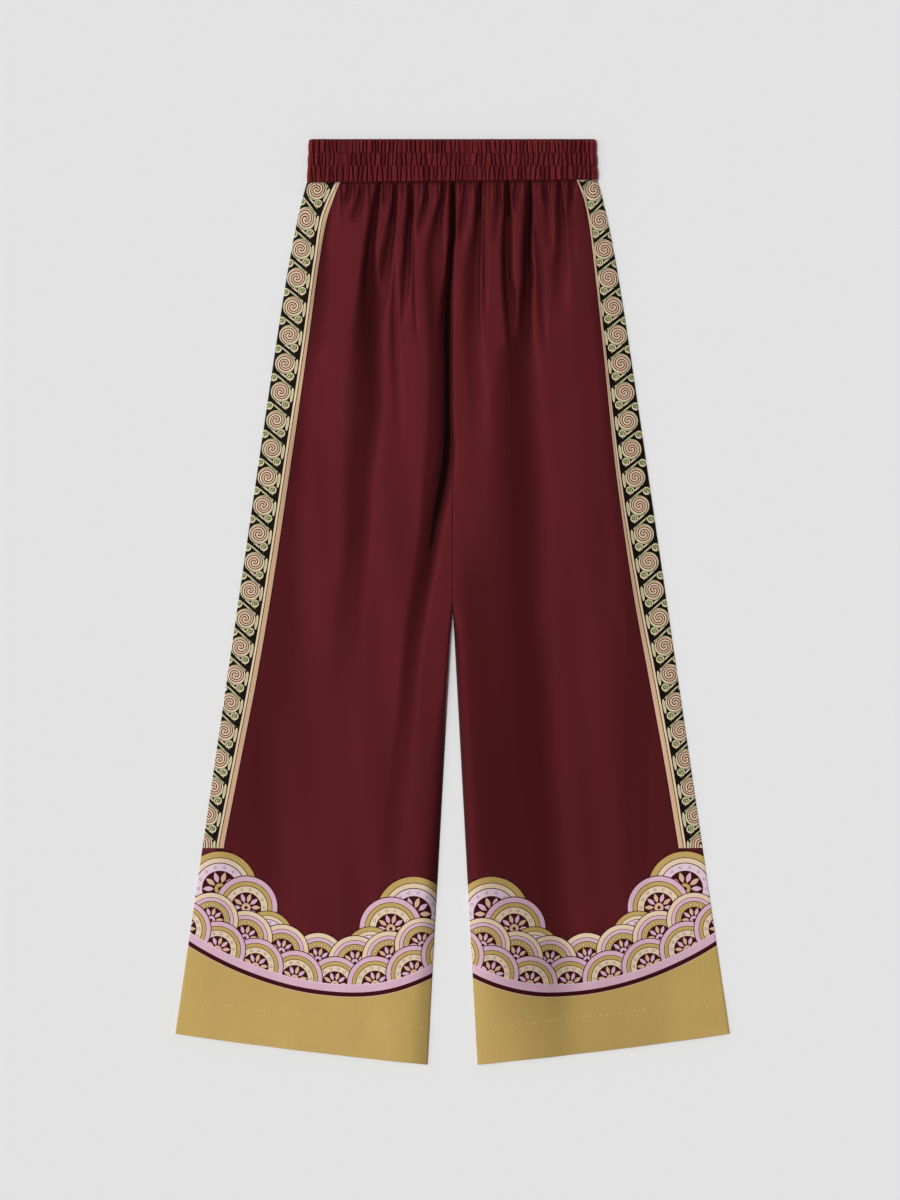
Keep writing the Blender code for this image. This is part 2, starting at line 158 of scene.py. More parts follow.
# Each crease has rows of a drop, its place across the garment, the share of the loft that it takes away, and
# how far it reaches to -X and to +X.
PLACE, DEPTH, REACH_RIGHT, REACH_LEFT = range(1, 5)
CREASES = (
    ((0, -116, 0.5, 2.5, 2), (16, -120, 0.45, 3, 2.5), (26, -122, 0, 3, 3)),
    ((0, -102.5, 0.5, 2.5, 2), (16, -105, 0.55, 3.5, 2.5), (33, -108, 0.36, 5, 4), (48, -112, 0, 6, 4)),
    (
        (0, -84.3, 0.95, 2.2, 1.8), (33, -88.3, 0.9, 4.6, 3), (79, -94.6, 0.86, 5.2, 4.8),
        (108, -96.8, 0.88, 6, 9), (137, -97.2, 0.88, 8, 15), (171, -96.2, 0.88, 12, 13),
        (206, -95.2, 0.8, 15, 12), (252, -94.5, 0.72, 17, 13), (344, -104, 0.62, 15, 11),
        (390, -106, 0.6, 14, 11), (436, -109, 0.46, 13, 12), (482, -113, 0.32, 15, 13),
        (600, -122, 0, 14, 14),
    ),
    ((0, -78, 0.4, 2, 1.6), (16, -78, 0.4, 2.6, 2), (28, -78, 0, 3, 2)),
    (
        (0, -65, 0.88, 2.4, 1.4), (33, -67, 0.86, 3.2, 2.4), (56, -68.3, 0.66, 6, 2.2),
        (79, -73, 0.58, 5.8, 4), (108, -77, 0.38, 7, 5.5), (145, -80, 0, 7, 5),
    ),
    (
        (60, -65.5, 0, 2, 1.5), (137, -65.5, 0.12, 4, 2.5), (171, -65, 0.2, 5, 2.5), (252, -61, 0.1, 6, 4),
        (310, -58, 0, 7, 4),
    ),
    (
        (0, -47.8, 0.9, 2.8, 2.2), (33, -47.5, 0.92, 4.2, 2.4), (56, -49.3, 0.82, 4.8, 2.2),
        (79, -51.2, 0.7, 4, 3), (108, -52.6, 0.42, 5, 4), (137, -55, 0.16, 3.4, 3), (165, -57, 0, 3, 3),
    ),
    ((40, -44, 0, 1.5, 1.5), (79, -43.6, 0.1, 2, 1.5), (125, -43, 0.1, 2.4, 1.5), (190, -39, 0, 4, 2)),
    ((0, -29.5, 0.85, 2.2, 1.4), (16, -29.5, 0.85, 2.8, 1.8), (33, -32, 0.52, 4, 2.4), (62, -38, 0, 4, 3)),
    (
        (0, -10.5, 0.86, 2.4, 1.4), (16, -10.8, 0.84, 3, 2), (33, -14, 0.8, 4.2, 2.8),
        (56, -17, 0.56, 6, 4.6), (79, -20, 0.46, 7.5, 9), (108, -19, 0.4, 9, 16), (137, -16, 0.44, 10, 14),
        (206, -16, 0.42, 8, 9), (252, -15.5, 0.42, 9, 9), (344, -23.5, 0.4, 8, 9), (390, -28, 0.3, 7, 9),
        (470, -42, 0, 7, 9),
    ),
    (
        (0, 0.2, 1, 2.8, 2.6), (56, 0.6, 1, 3.6, 2.8), (79, -1.4, 1, 3.6, 2.4), (108, -3, 1, 4.6, 2.4),
        (137, -5.4, 1, 6.5, 3), (171, -6.4, 1, 8.6, 4.8), (252, -6.2, 1, 9.4, 5), (298, -7.2, 1, 9.6, 8),
        (344, -13.4, 0.98, 9.6, 9.6), (390, -22.3, 0.92, 8.4, 9), (436, -29.8, 0.85, 8.6, 8.6),
        (482, -38, 0.72, 8.6, 8), (539, -45, 0.52, 8.5, 7.5), (597, -50.5, 0.42, 8.5, 8.5),
        (654, -56, 0.28, 10, 10), (850, -78, 0, 9, 9),
    ),
    ((0, 16, 0.45, 2.5, 2), (16, 15.5, 0.46, 3.4, 2), (33, 14, 0.42, 4.4, 2.5), (70, 10, 0, 4, 3)),
    (
        (0, 32.5, 0.93, 2.6, 1.6), (33, 31, 0.93, 3.8, 2), (56, 30, 0.7, 5, 2.4), (79, 29.3, 0.6, 8, 2.6),
        (108, 28.5, 0.42, 11, 2.4), (137, 28.5, 0.42, 11, 2.4), (171, 28, 0.3, 12, 4),
        (252, 31, 0.14, 10, 8), (320, 32, 0, 12, 10),
    ),
    ((25, 37, 0, 1.5, 1.5), (40, 37.5, 0.15, 2.6, 1.8), (108, 38, 0.12, 2.8, 2), (160, 38, 0, 3, 3)),
    ((0, 52.5, 0.6, 2.2, 1.5), (16, 53.3, 0.6, 3, 1.8), (33, 54, 0.34, 5, 3), (75, 51, 0, 6, 4)),
    (
        (0, 63.8, 0.96, 2.8, 1.6), (33, 64, 0.95, 4.4, 3), (56, 62.2, 0.82, 4.6, 5),
        (108, 62.5, 0.78, 4.4, 5), (137, 64.5, 0.7, 4.6, 9), (171, 67.5, 0.6, 5, 8),
        (206, 70.5, 0.36, 5, 9), (252, 72, 0.2, 4, 10), (344, 73, 0.1, 4, 12), (420, 72, 0, 6, 12),
    ),
    ((0, 73, 0.4, 2.5, 2), (16, 73, 0.45, 3, 2.4), (36, 73, 0, 3, 3)),
    (
        (0, 89, 0.95, 3.2, 1.4), (33, 88.8, 0.97, 5, 3), (79, 87, 0.95, 5.6, 3.4), (108, 87, 0.9, 5.6, 4.6),
        (137, 85, 0.86, 7, 5), (171, 83, 0.8, 9, 7), (206, 79, 0.7, 19, 14), (298, 77, 0.66, 25, 24),
        (390, 78, 0.68, 28, 28), (482, 77, 0.66, 32, 29), (597, 88, 0.66, 40, 28), (654, 92, 0.65, 43, 27),
        (758, 101, 0.62, 50, 27), (860, 103, 0.56, 50, 33), (1000, 104, 0.28, 46, 36),
    ),
    (
        (30, 92, 0, 2, 3), (50, 94.5, 0.14, 2, 3), (79, 99.5, 0.14, 4, 4), (137, 104, 0.15, 5, 3),
        (200, 107, 0, 4, 3),
    ),
    ((0, 106, 0.7, 2.5, 1.8), (16, 107.5, 0.7, 3.6, 2), (33, 110.5, 0.26, 4.5, 3), (85, 114, 0, 6, 4)),
    (
        (0, 122.5, 0.82, 3, 1.6), (33, 124.5, 0.72, 4.6, 3.6), (56, 126, 0.55, 5.5, 4.4),
        (79, 126, 0.45, 6, 5), (108, 126, 0.26, 9, 6), (160, 124, 0, 9, 8),
    ),
    (
        (0, 136.3, 0.8, 2.6, 1.6), (16, 136.5, 0.72, 3.2, 2), (33, 136, 0.36, 4, 3), (60, 136, 0.2, 6, 6),
        (110, 138, 0, 7, 6),
    ),
    ((0, 153, 0.5, 2.5, 2), (20, 154, 0.3, 3, 2.5), (60, 157, 0, 4, 3)),
)
# How far to +X of a crease's bottom its shade lies, and what share of its reach there is added.
SHADE_LAG = (0.5, 0.08)
# Places that only lie in soft shade, in rows of the same kind.
SHADES = (
    (
        (20, -138, 0, 3, 3), (56, -146, 0.65, 4, 4), (108, -155, 0.62, 5, 12), (171, -163, 0.48, 5, 17),
        (230, -171, 0.3, 5, 10), (320, -184, 0.55, 6, 15), (436, -199, 0.44, 8, 27),
        (597, -222, 0.42, 12, 50), (712, -242, 0.44, 16, 52), (860, -262, 0.18, 26, 60),
        (950, -270, 0, 30, 60),
    ),
    (
        (590, -5, 0, 2, 4), (620, -7, 0.7, 4, 5), (680, -10, 0.9, 7, 5), (758, -14, 0.9, 13, 6),
        (880, -21, 0.6, 20, 8), (1000, -27, 0.55, 24, 9),
    ),
    (
        (400, 20, 0, 14, 18), (460, 21, 0.42, 13, 20), (597, 27, 0.5, 14, 24), (712, 36, 0.52, 17, 28),
        (860, 50, 0.3, 18, 28), (960, 55, 0, 18, 28),
    ),
    (
        (90, 158, 0, 6, 5), (150, 167, 0.45, 8, 6), (298, 182, 0.48, 10, 8), (482, 206, 0.44, 14, 14),
        (597, 213, 0.4, 20, 18), (758, 213, 0.38, 24, 18), (900, 216, 0, 26, 20),
    ),
    (
        (12, 96, 0, 2, 4), (33, 97, 0.3, 3, 8), (60, 98, 0.34, 3, 11), (108, 100, 0.34, 4, 9),
        (180, 100, 0, 5, 8),
    ),
    ((20, 141, 0, 5, 6), (50, 141, 0.3, 6, 6), (80, 141, 0.22, 7, 6), (130, 142, 0, 7, 6)),
    ((850, 181, 0, 118, 140), (910, 181, 0.34, 118, 140), (1000, 181, 0.38, 118, 140)),
)
# Drop, and the share of a crease's depth that the cloth really sinks there. The rest is only shade.
RELIEF = ((0, 0.8), (60, 0.85), (110, 1), (220, 0.58), (400, 0.5), (1000, 0.45))
# Drop, and how wide the front rolls down to a side seam and to an inner edge.
SIDE_ROLL = {
    -1: ((0, 12), (200, 16), (600, 18), (1000, 14)),
    1: ((0, 12), (150, 20), (400, 27), (700, 31), (1000, 18)),
}
INSEAM_ROLL = {
    -1: ((500, 0.6), (560, 1), (640, 4), (760, 9), (1000, 14)),
    1: ((250, 1), (450, 3), (700, 6), (1000, 8)),
}
INSEAM_ROLL_DEPTH = 0.9
CROTCH_DROPS = (474, 525)  # the inner roll begins between these
# Soft waves of cloth that lies free, and the hem's own: height, lengths along X and Y, and phase.
SOFT_WAVES = ((0.2, 74, 410, 0.6), (0.18, 113, -290, 2.1), (0.12, 46, 520, 4))
HEM_WAVES = ((0.55, 92, math.inf, 0.5), (0.35, 57, math.inf, 2.6))
SOFT_WAVES_BEGIN = (60, 260)
HEM_WAVES_BEGIN = (780, 985)
HEM_PULL = (0.42, 0.28)  # how far the blind stitching pulls the face in, evenly and in waves
HEM_PULL_REACH = 2.6
HEM_PULL_WAVE = 3.3

# Edges of a panel.
EDGE_ROUND = 2.4
EDGE_INSETS = (0.0, 0.12, 0.4, 0.8, 1.3, 1.9, EDGE_ROUND)
EDGE_LOW = 0.4  # height of that edge over the table
SEAM_ROUND = 0.8  # the groove along the centre seam
SEAM_GROOVE = 0.5
HEM_ROUND = 1.0
HEM_DIP = 0.5
UNDER_STEP = 3  # rows and columns of a front panel for each one of its underside
THINNEST = 0.3  # the least thickness of a front panel

# Small gathers that the waist seam leaves in a panel.
GATHER_SPAN = (-4.0, WAIST_HALF_SEAM + 6.0)
GATHER_SEEDS = (40, 50, 60)
GATHER_PITCH = (3.6, 7.4)
GATHER_REACH = (5.0, 26.0)
GATHER_RISES = (0.75, 3.0)
GATHER_ROUND = 0.45  # a gather is blunter than a bow
GATHER_FADE = 1.6  # and fades late in its reach
GATHER_IN_FOLD = 0.35  # share of its rise that is left at the bottom of a crease
# How dark the painted shade between gathers is.
GATHER_SHADE = 0.98
# A second, smaller size of gather, right under the seam.
SMALL_GATHER_PITCH = (2.4, 4.6)
SMALL_GATHER_REACH = (2.5, 10.0)
SMALL_GATHER_SHADE = 0.85

# The tongue of a panel inside the waistband.
TONGUE = 4.0
TONGUE_TOP = 3.35
TONGUE_TUCK = 4.4
TONGUE_TUCK_DROPS = (-2.5, -0.2)
TONGUE_DROPS = (-2.5, 3.0)

# ---- The back of the legs, which rests on the table ----

# Drop, and the highest that a back panel reaches.
BACK_TOP = ((-4, 2.5), (-1, 2.5), (4, 2), (60, 1.6), (250, 1.2), (940, 1.2), (958, 1.75), (1000, 1.75))
BACK_CREASES = (
    ((0, 22, 0.9, 3, 3), (60, 24, 0.8, 4, 4), (190, 28, 0, 8, 8)),
    ((0, 48, 0.8, 3, 3), (90, 47, 0.9, 5, 5), (330, 40, 0.5, 10, 9), (560, 36, 0, 14, 12)),
    ((0, 75, 0.7, 3, 3), (45, 76, 0.6, 4, 4), (110, 80, 0, 6, 6)),
    ((0, 98, 0.9, 3, 3), (110, 104, 0.8, 6, 6), (420, 122, 0.4, 14, 12), (700, 140, 0, 18, 16)),
    ((0, 128, 0.7, 3, 3), (70, 133, 0.5, 5, 5), (160, 138, 0, 7, 7)),
)
BACK_CREASES_BEGIN = (0, 5)
BACK_INSET = 2.0  # how far it stays inside the front's rolled edges

# ---- Print ----

# Y, the distance of the side band's inner line from the middle, and how much of the band is rolled under.
LINE_DISTANCE, LINE_ROLL = 1, 2
SIDE_LINES = {
    -1: (
        (-280, 261.7, 0), (-182, 242.4, 0), (-90, 224.3, 0), (2, 208.3, 0), (163, 184, 0.5),
        (301, 164.3, 2), (393, 151.6, 2), (439, 143.3, 1), (462, 136, 2), (484, 127.6, 4),
    ),
    1: (
        (-280, 258.6, 0), (-182, 242.1, 0), (-90, 225.1, 0), (2, 208.1, 1), (94, 194.2, 3), (163, 185.2, 4),
        (301, 171.1, 7), (393, 161.2, 11), (439, 155.3, 12), (462, 150.3, 11), (484, 142, 10),
    ),
}
ROLL_UNDER = (0.9, 4.4)  # the stretch of the band, from its inner line, in which that lies
LINE_ENDS = (-320.0, 492.0)  # Y from where to where that line is followed
LINE_PLACES = 400
SIDE_BAND_END = -283.0
# The arc along the foot of the hem border: its lowest point, and how it rises to the inner edge and outwards.
ARC_X, ARC_Y = 112.0, -449.0
ARC_INWARDS, ARC_OUTWARDS = 0.00284, 0.001617
ARC_REACH = 700.0  # no place that is looked at lies as far off
ARC_TRIES = 14

# ---- Heights ----


def cloth_thickness(drop):
    """Thickness of a panel, which is double at the hem."""
    return blend(CLOTH, HEM_CLOTH, smooth_step(HEM_TURN_DROP - HEM_STEP, HEM_TURN_DROP, drop))


def crease_depth(rows, x, drop, lag):
    """Share of the loft that one crease takes away, or of the light, where its shade lags to +X of it."""
    lags = SHADE_LAG[0] + SHADE_LAG[1] * through(rows, drop, REACH_LEFT)
    off = x - through(rows, drop, PLACE) - lag * lags
    reach = np.where(off < 0, through(rows, drop, REACH_RIGHT), through(rows, drop, REACH_LEFT))
    inside = (drop >= rows[0][0]) & (drop <= rows[-1][0])
    depth = np.clip(through(rows, drop, DEPTH), 0.0, 1.0) * inside
    return depth * np.exp(-(np.abs(off / reach) ** CREASE_POWER))


def left_by(creases, x, drop, lag=0.0):
    """Share of the loft, or of the light, that a set of creases leaves."""
    share = np.ones_like(x)
    for rows in creases:
        share *= 1.0 - crease_depth(rows, x, drop, lag)
    return share


def uneven_places(start, end, pitches, seed):
    """Places from start to end, unevenly spaced."""
    chance = np.random.default_rng(seed)
    places = [start]
    while places[-1] < end:
        places.append(places[-1] + chance.uniform(*pitches))
    return np.array(places)


def ridges(places, at, power):
    """Which of the gaps between places each point is in, and the height of a rounded ridge there, 0 to 1."""
    index = np.clip(np.searchsorted(places, at) - 1, 0, len(places) - 2)
    share = np.clip((at - places[index]) / (places[index + 1] - places[index]), 0.0, 1.0)
    return index, (4.0 * share * (1.0 - share)) ** power


def gather_ridges(places, reaches, side, x, drop):
    """Which gather each point is in, its height there, 0 to 1, and how much of it is left at that drop."""
    index, ridge = ridges(places, side * x, GATHER_ROUND)
    return index, ridge, np.exp(-((drop / reaches[index]) ** GATHER_FADE))


def gathers(side, x, drop):
    """Height of the small gathers near the waist seam, and the shade painted between them, 0 to 1."""
    seed, reach_seed, small_seed = GATHER_SEEDS
    places = uneven_places(*GATHER_SPAN, GATHER_PITCH, seed + side)
    chance = np.random.default_rng(reach_seed + side)
    reaches = chance.uniform(*GATHER_REACH, len(places))
    rises = chance.uniform(*GATHER_RISES, len(places))
    index, ridge, left = gather_ridges(places, reaches, side, x, drop)
    places = uneven_places(places[0], places[-1], SMALL_GATHER_PITCH, small_seed + side)
    reaches = chance.uniform(*SMALL_GATHER_REACH, len(places))
    _, small_ridge, small_left = gather_ridges(places, reaches, side, x, drop)
    small_shade = (1.0 - small_ridge) * small_left * SMALL_GATHER_SHADE
    return rises[index] * ridge * left, np.maximum((1.0 - ridge) * left * GATHER_SHADE, small_shade)


def waves(rows, at, begin):
    """Height of a set of soft waves, which begins between two drops."""
    height = 0.0
    for rise, length_x, length_y, phase in rows:
        height = height + rise * np.sin(2 * math.pi * (at.x / length_x + at.y / length_y) + phase)
    return height * smooth_step(*begin, at.drop)


class Spots:
    """A grid of places on one leg."""

    def __init__(self, side, columns, drops, inset=0.0):
        insets = np.array(EDGE_INSETS)
        middle = np.linspace(0.0, 1.0, columns)[1:-1]
        share = np.concatenate([np.zeros(len(insets)), middle, np.ones(len(insets))])
        offset = np.concatenate([insets, insets[-1] * (1.0 - 2.0 * middle), -insets[::-1]])
        across = share + offset / HEM_WIDTH
        drop = drops[:, None] + np.zeros(len(share))
        top = seam_y(side * across * WAIST_HALF_SEAM) - SEAM_GAP
        self.side = side
        self.y = top + (hem_y(across) - top) * drop / LEG_LENGTH
        self.drop = np.maximum(drop, 0.0)
        self.below = drop
        self.crotch = smooth_step(*CROTCH_DROPS, self.drop)
        tuck_and_shade = TONGUE_TUCK * (1.0 - smooth_step(*TONGUE_TUCK_DROPS, drop))
        outer = side_edge(self.y) - inset - tuck_and_shade
        inner = inner_edge(self.y) + inset * self.crotch
        distance = inner + offset + (outer - inner) * share
        self.x = side * distance
        self.outwards = outer - distance
        self.inwards = distance - inner


def front_top(at):
    """Height of a front panel's face over the table, and the share of painted shade on it, 0 to 1, deepest in
    its creases and between its gathers.
    """
    loft = through(LOFT, at.drop)
    lowest = through(BACK_TOP, at.drop) + LAYER_GAP + cloth_thickness(at.drop)
    share = left_by(CREASES, at.x, at.drop)
    sinking = 1.0 - (1.0 - share) * through(RELIEF, at.drop)
    side_roll = 1.0 - np.exp(-at.outwards / through(SIDE_ROLL[at.side], at.drop))
    inseam = np.exp(-at.inwards / through(INSEAM_ROLL[at.side], at.drop))
    free = side_roll * (1.0 - INSEAM_ROLL_DEPTH * at.crotch * inseam)
    height = lowest + loft * sinking * free
    gather, between = gathers(at.side, at.x, at.drop)
    height += gather * blend(GATHER_IN_FOLD, 1.0, share)
    # Painted shade: in the creases, lagging a little to +X of their bottoms, in the places that only lie in
    # shade, and between the gathers.
    light = left_by(CREASES, at.x, at.drop, 1.0) * left_by(SHADES, at.x, at.drop)
    tuck_and_shade = 1.0 - light * (1.0 - between)
    height += free * (waves(SOFT_WAVES, at, SOFT_WAVES_BEGIN) + waves(HEM_WAVES, at, HEM_WAVES_BEGIN))
    pull = HEM_PULL[0] + HEM_PULL[1] * np.sin(at.x / HEM_PULL_WAVE)
    pull *= np.exp(-(((at.drop - HEM_TURN_DROP) / HEM_PULL_REACH) ** 2))
    height = np.maximum(height - pull, lowest)
    height = blend(TONGUE_TOP, height, smooth_step(*TONGUE_DROPS, at.below))
    height -= HEM_DIP * (1.0 - rounding(LEG_LENGTH - at.drop, HEM_ROUND))
    outer = rounding(at.outwards, EDGE_ROUND)
    inner = rounding(at.inwards, blend(SEAM_ROUND, EDGE_ROUND, at.crotch))
    height = blend(blend(height - SEAM_GROOVE, EDGE_LOW, at.crotch), height, inner)
    return blend(EDGE_LOW, height, np.where(at.below < 0, 1.0, outer)), tuck_and_shade


def front_under(at, top):
    """The underside of a front panel: a wall below its face, and no lower than the back panel's.

    It has fewer columns than the face, so each of its places lies as low as the ones beside it.
    """
    slope = np.gradient(top, axis=1) / np.gradient(np.abs(at.x), axis=1)
    wall = cloth_thickness(at.drop) * np.hypot(1.0, slope)
    over_back = (at.outwards > BACK_INSET) & (at.inwards > BACK_INSET * at.crotch)
    lowest = np.where(over_back, through(BACK_TOP, at.below) + LAYER_GAP, TABLE)
    wide = np.pad(top - wall, ((0, 0), (UNDER_STEP - 1, UNDER_STEP - 1)), mode="edge")
    beside = [wide[:, step : step + at.x.shape[1]] for step in range(2 * UNDER_STEP - 1)]
    return np.minimum(np.maximum(np.min(beside, axis=0), lowest), top - THINNEST)


def back_under(at):
    """The underside of a back panel, on the table but for its creases."""
    room = through(BACK_TOP, at.below) - cloth_thickness(at.drop)
    lift = room * (1.0 - left_by(BACK_CREASES, np.abs(at.x), at.drop))
    return np.where(at.below < 0, room, blend(room, lift, smooth_step(*BACK_CREASES_BEGIN, at.below)))


# ---- Meshes ----

DIM_GLOSS_SHADE = 0.9  # painted shade past which a face takes the print's material, whose gloss is dim, as if no light reached it
SHARP_ANGLE = 62


def join_rows(faces, first, second):
    """Fills the strip between two rows of vertices with triangles, however many each row has."""
    i, j = 0, 0
    while i < len(first) - 1 or j < len(second) - 1:
        if (i + 1) * (len(second) - 1) <= (j + 1) * (len(first) - 1):
            faces.append((first[i], second[j], first[i + 1]))
            i += 1
        else:
            faces.append((first[i], second[j], second[j + 1]))
            j += 1


def grid_faces(index):
    """The quads of a grid of vertices."""
    corners = (index[:-1, :-1], index[1:, :-1], index[1:, 1:], index[:-1, 1:])
    return np.stack([corner.ravel() for corner in corners], axis=1).tolist()


def new_piece(name, points, faces, materials):
    """A smooth closed mesh on the garment's body. Its points are in millimetres."""
    mesh = bpy.data.meshes.new(name)
    mesh.from_pydata((np.asarray(points) * MM).tolist(), [], faces)
    shell = bmesh.new()
    shell.from_mesh(mesh)
    bmesh.ops.recalc_face_normals(shell, faces=shell.faces)
    shell.to_mesh(mesh)
    shell.free()
    mesh.shade_smooth()
    mesh.set_sharp_from_angle(angle=math.radians(SHARP_ANGLE))
    for material in materials:
        mesh.materials.append(material)
    piece = bpy.data.objects.new(name, mesh)
    bpy.context.scene.collection.objects.link(piece)
    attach(piece, "root")
    return piece


def keep_field(piece, name, values):
    """Keeps one number for each point of a piece, for its material to read."""
    field = piece.data.attributes.new(name, "FLOAT", "POINT")
    field.data.foreach_set("value", np.asarray(values, np.float32).ravel())


def surface(at, height):
    """Points of a grid of spots at a height."""
    return np.stack([at.x, at.y, height], axis=-1)


def sheet_between(name, upper, lower, tuck_and_shade, materials):
    """A wall of cloth between two grids of points, joined round its edge.

    The second material is on the print, and where the painted shade is darkest, so that its gloss is dim
    there too.
    """
    points = np.concatenate([upper.reshape(-1, 3), lower.reshape(-1, 3)])
    above = np.arange(upper[..., 0].size).reshape(upper.shape[:2])
    below = above.size + np.arange(lower[..., 0].size).reshape(lower.shape[:2])
    faces = grid_faces(above) + grid_faces(below)
    for row in (0, -1):
        join_rows(faces, above[row].tolist(), below[row].tolist())
        join_rows(faces, above[:, row].tolist(), below[:, row].tolist())
    piece = new_piece(name, points, faces, materials)
    keep_print(piece, points)
    shades = np.concatenate([tuck_and_shade.ravel(), np.zeros(below.size)])
    dim_gloss = [np.mean(shades[list(face.vertices)]) > DIM_GLOSS_SHADE for face in piece.data.polygons]
    print_and_shade = printed_faces(piece) | np.array(dim_gloss)
    piece.data.polygons.foreach_set("material_index", print_and_shade.astype(np.int32))
    keep_field(piece, "tuck_and_shade", shades)
    return piece


# ---- Places in the print, kept on the points ----


def beside_line(rows, distance, y):
    """How far a place lies outwards of a side band's inner line, and how far down it."""
    fine = np.linspace(*LINE_ENDS, LINE_PLACES)
    line = through(rows, fine, LINE_DISTANCE)
    slopes = np.gradient(line, fine)
    lean = np.interp(y, fine, slopes)
    down = np.cumsum(np.hypot(1.0, slopes) * (fine[1] - fine[0]))
    off = (distance - np.interp(y, fine, line)) / np.hypot(1.0, lean)
    foot = y + off * lean / np.hypot(1.0, lean)
    return off, -np.interp(foot, fine, down)


def arc(distance):
    """Y of the arc along the foot of the hem border, and its slope."""
    bend = np.where(distance < ARC_X, ARC_INWARDS, ARC_OUTWARDS)
    return ARC_Y + bend * (distance - ARC_X) ** 2, 2.0 * bend * (distance - ARC_X)


def over_arc(distance, y):
    """Height of a place over the arc, square to it."""
    foot = distance
    for _ in range(ARC_TRIES):
        level, slope = arc(foot)
        foot = np.clip(0.5 * foot + 0.5 * (distance + (y - level) * slope), -ARC_REACH, ARC_REACH)
    return np.sign(y - arc(distance)[0]) * np.hypot(distance - foot, y - arc(foot)[0])


def print_places(points):
    """Where points lie in the print: distance from the middle, Y, off and down a side band, over the arc."""
    distance, y = np.abs(points[:, 0]), points[:, 1]
    line = SIDE_LINES[1 if points[:, 0].mean() > 0 else -1]
    off, down = beside_line(line, distance, y)
    off += through(line, y, LINE_ROLL) * smooth_step(*ROLL_UNDER, off)
    return distance, y, off, down, over_arc(distance, y)


def keep_print(piece, points):
    """Keeps where each point lies in the print."""
    _, _, *places = print_places(points)
    for name, values in zip(("band_off", "band_down", "over_arc"), places):
        keep_field(piece, name, values)


def printed_faces(piece):
    """Which faces of a piece lie in the print."""
    middles = np.empty(3 * len(piece.data.polygons))
    piece.data.polygons.foreach_get("center", middles)
    distance, y, off, _, over = print_places(middles.reshape(-1, 3) / MM)
    inside = ((off > 0.0) & (y > SIDE_BAND_END)) | (over < STRIP_DEPTH)
    for middle_x, middle_y, radius, _ in fans():
        inside |= np.hypot(distance - middle_x, y - middle_y) < radius
    return inside


# ---- Node arithmetic ----


def srgb(red, green, blue):
    """A colour given from 0 to 255 as a screen shows it, made linear."""
    shares = (value / 255 for value in (red, green, blue))
    return tuple(((share + 0.055) / 1.055) ** 2.4 if share > 0.04 else share / 12.92 for share in shares)


def feed(node, entries):
    """Sets a node's entries to numbers or colours, or links them to a field, a paint or an output."""
    for name, value in entries.items():
        entry = node.inputs[name]
        source = getattr(value, "source", value)
        if isinstance(source, bpy.types.NodeSocket):
            entry.id_data.links.new(source, entry)
        else:
            entry.default_value = (*source, 1.0) if entry.type == "RGBA" else source


def add_node(tree, kind, entries, **settings):
    """A new node with its settings and entries."""
    node = tree.nodes.new("ShaderNode" + kind)
    for name, value in settings.items():
        setattr(node, name, value)
    feed(node, entries)
    return node


class Field:
    """A number that changes over a surface. Arithmetic on it adds Math nodes."""

    def __init__(self, source):
        self.tree = source.id_data
        self.source = source

    def math(self, operation, *others):
        entries = dict(enumerate((self, *others)))
        return Field(add_node(self.tree, "Math", entries, operation=operation).outputs[0])

    __add__ = partialmethod(math, "ADD")
    __sub__ = partialmethod(math, "SUBTRACT")
    __mul__ = partialmethod(math, "MULTIPLY")
    __truediv__ = partialmethod(math, "DIVIDE")
    __lt__ = partialmethod(math, "LESS_THAN")
    __gt__ = partialmethod(math, "GREATER_THAN")
    near = partialmethod(math, "COMPARE")  # 1 within a reach of a place, 0 past it
    apart = partialmethod(math, "PINGPONG", 0.5)  # the distance from the nearest whole number

    def wrap(self, period):
        """The distance from the nearest whole number of periods, below 0 before it."""
        return self.math("WRAP", period / 2, -period / 2)

    def odd(self):
        """1 between an odd whole number and the next, 0 from an even one."""
        return self.math("FLOORED_MODULO", 2.0) > 1.0


def mixed(first, second, share):
    """The first number where a field is 0, the second where it is 1."""
    return Field(add_node(share.tree, "Mix", {0: share, 2: first, 3: second}).outputs[0])


def length_of(first, second):
    """The length of a step along two axes."""
    return (first * first + second * second).math("SQRT")


class Paint:
    """A colour that changes over a surface, laid on in layers."""

    def __init__(self, tree, source):
        self.tree = tree
        self.source = source

    def lay(self, colour, where):
        """Lays a colour, or another paint, where a field is 1."""
        entries = {"Fac": where, "Color1": self, "Color2": colour}
        self.source = add_node(self.tree, "MixRGB", entries).outputs["Color"]


def stepped(field, length, steps):
    """Paint in plain steps along a field from 0 to a length. Each step has its start and its colour."""
    node = add_node(field.tree, "ValToRGB", {"Fac": field / length})
    ramp = node.color_ramp
    ramp.interpolation = "CONSTANT"
    while len(ramp.elements) < len(steps):
        ramp.elements.new(1.0)
    for element, (start, colour) in zip(ramp.elements, steps):
        element.position = start / length
        element.color = (*colour, 1.0)
    return Paint(field.tree, node.outputs["Color"])


def kept(tree, name):
    """A number kept on the points."""
    return Field(add_node(tree, "Attribute", {}, attribute_name=name).outputs["Fac"])


def noise(vector, scale, detail=2.0):
    """Noise from 0 to 1. The vector is in metres and the scale in waves a metre along each axis."""
    tree = vector.id_data
    stretch = add_node(tree, "VectorMath", {0: vector, 1: scale}, operation="MULTIPLY")
    entries = {"Vector": stretch.outputs[0], "Scale": 1.0, "Detail": detail}
    return Field(add_node(tree, "TexNoise", entries).outputs["Fac"])


# ---- Colours ----

BURGUNDY = srgb(65, 20, 22)
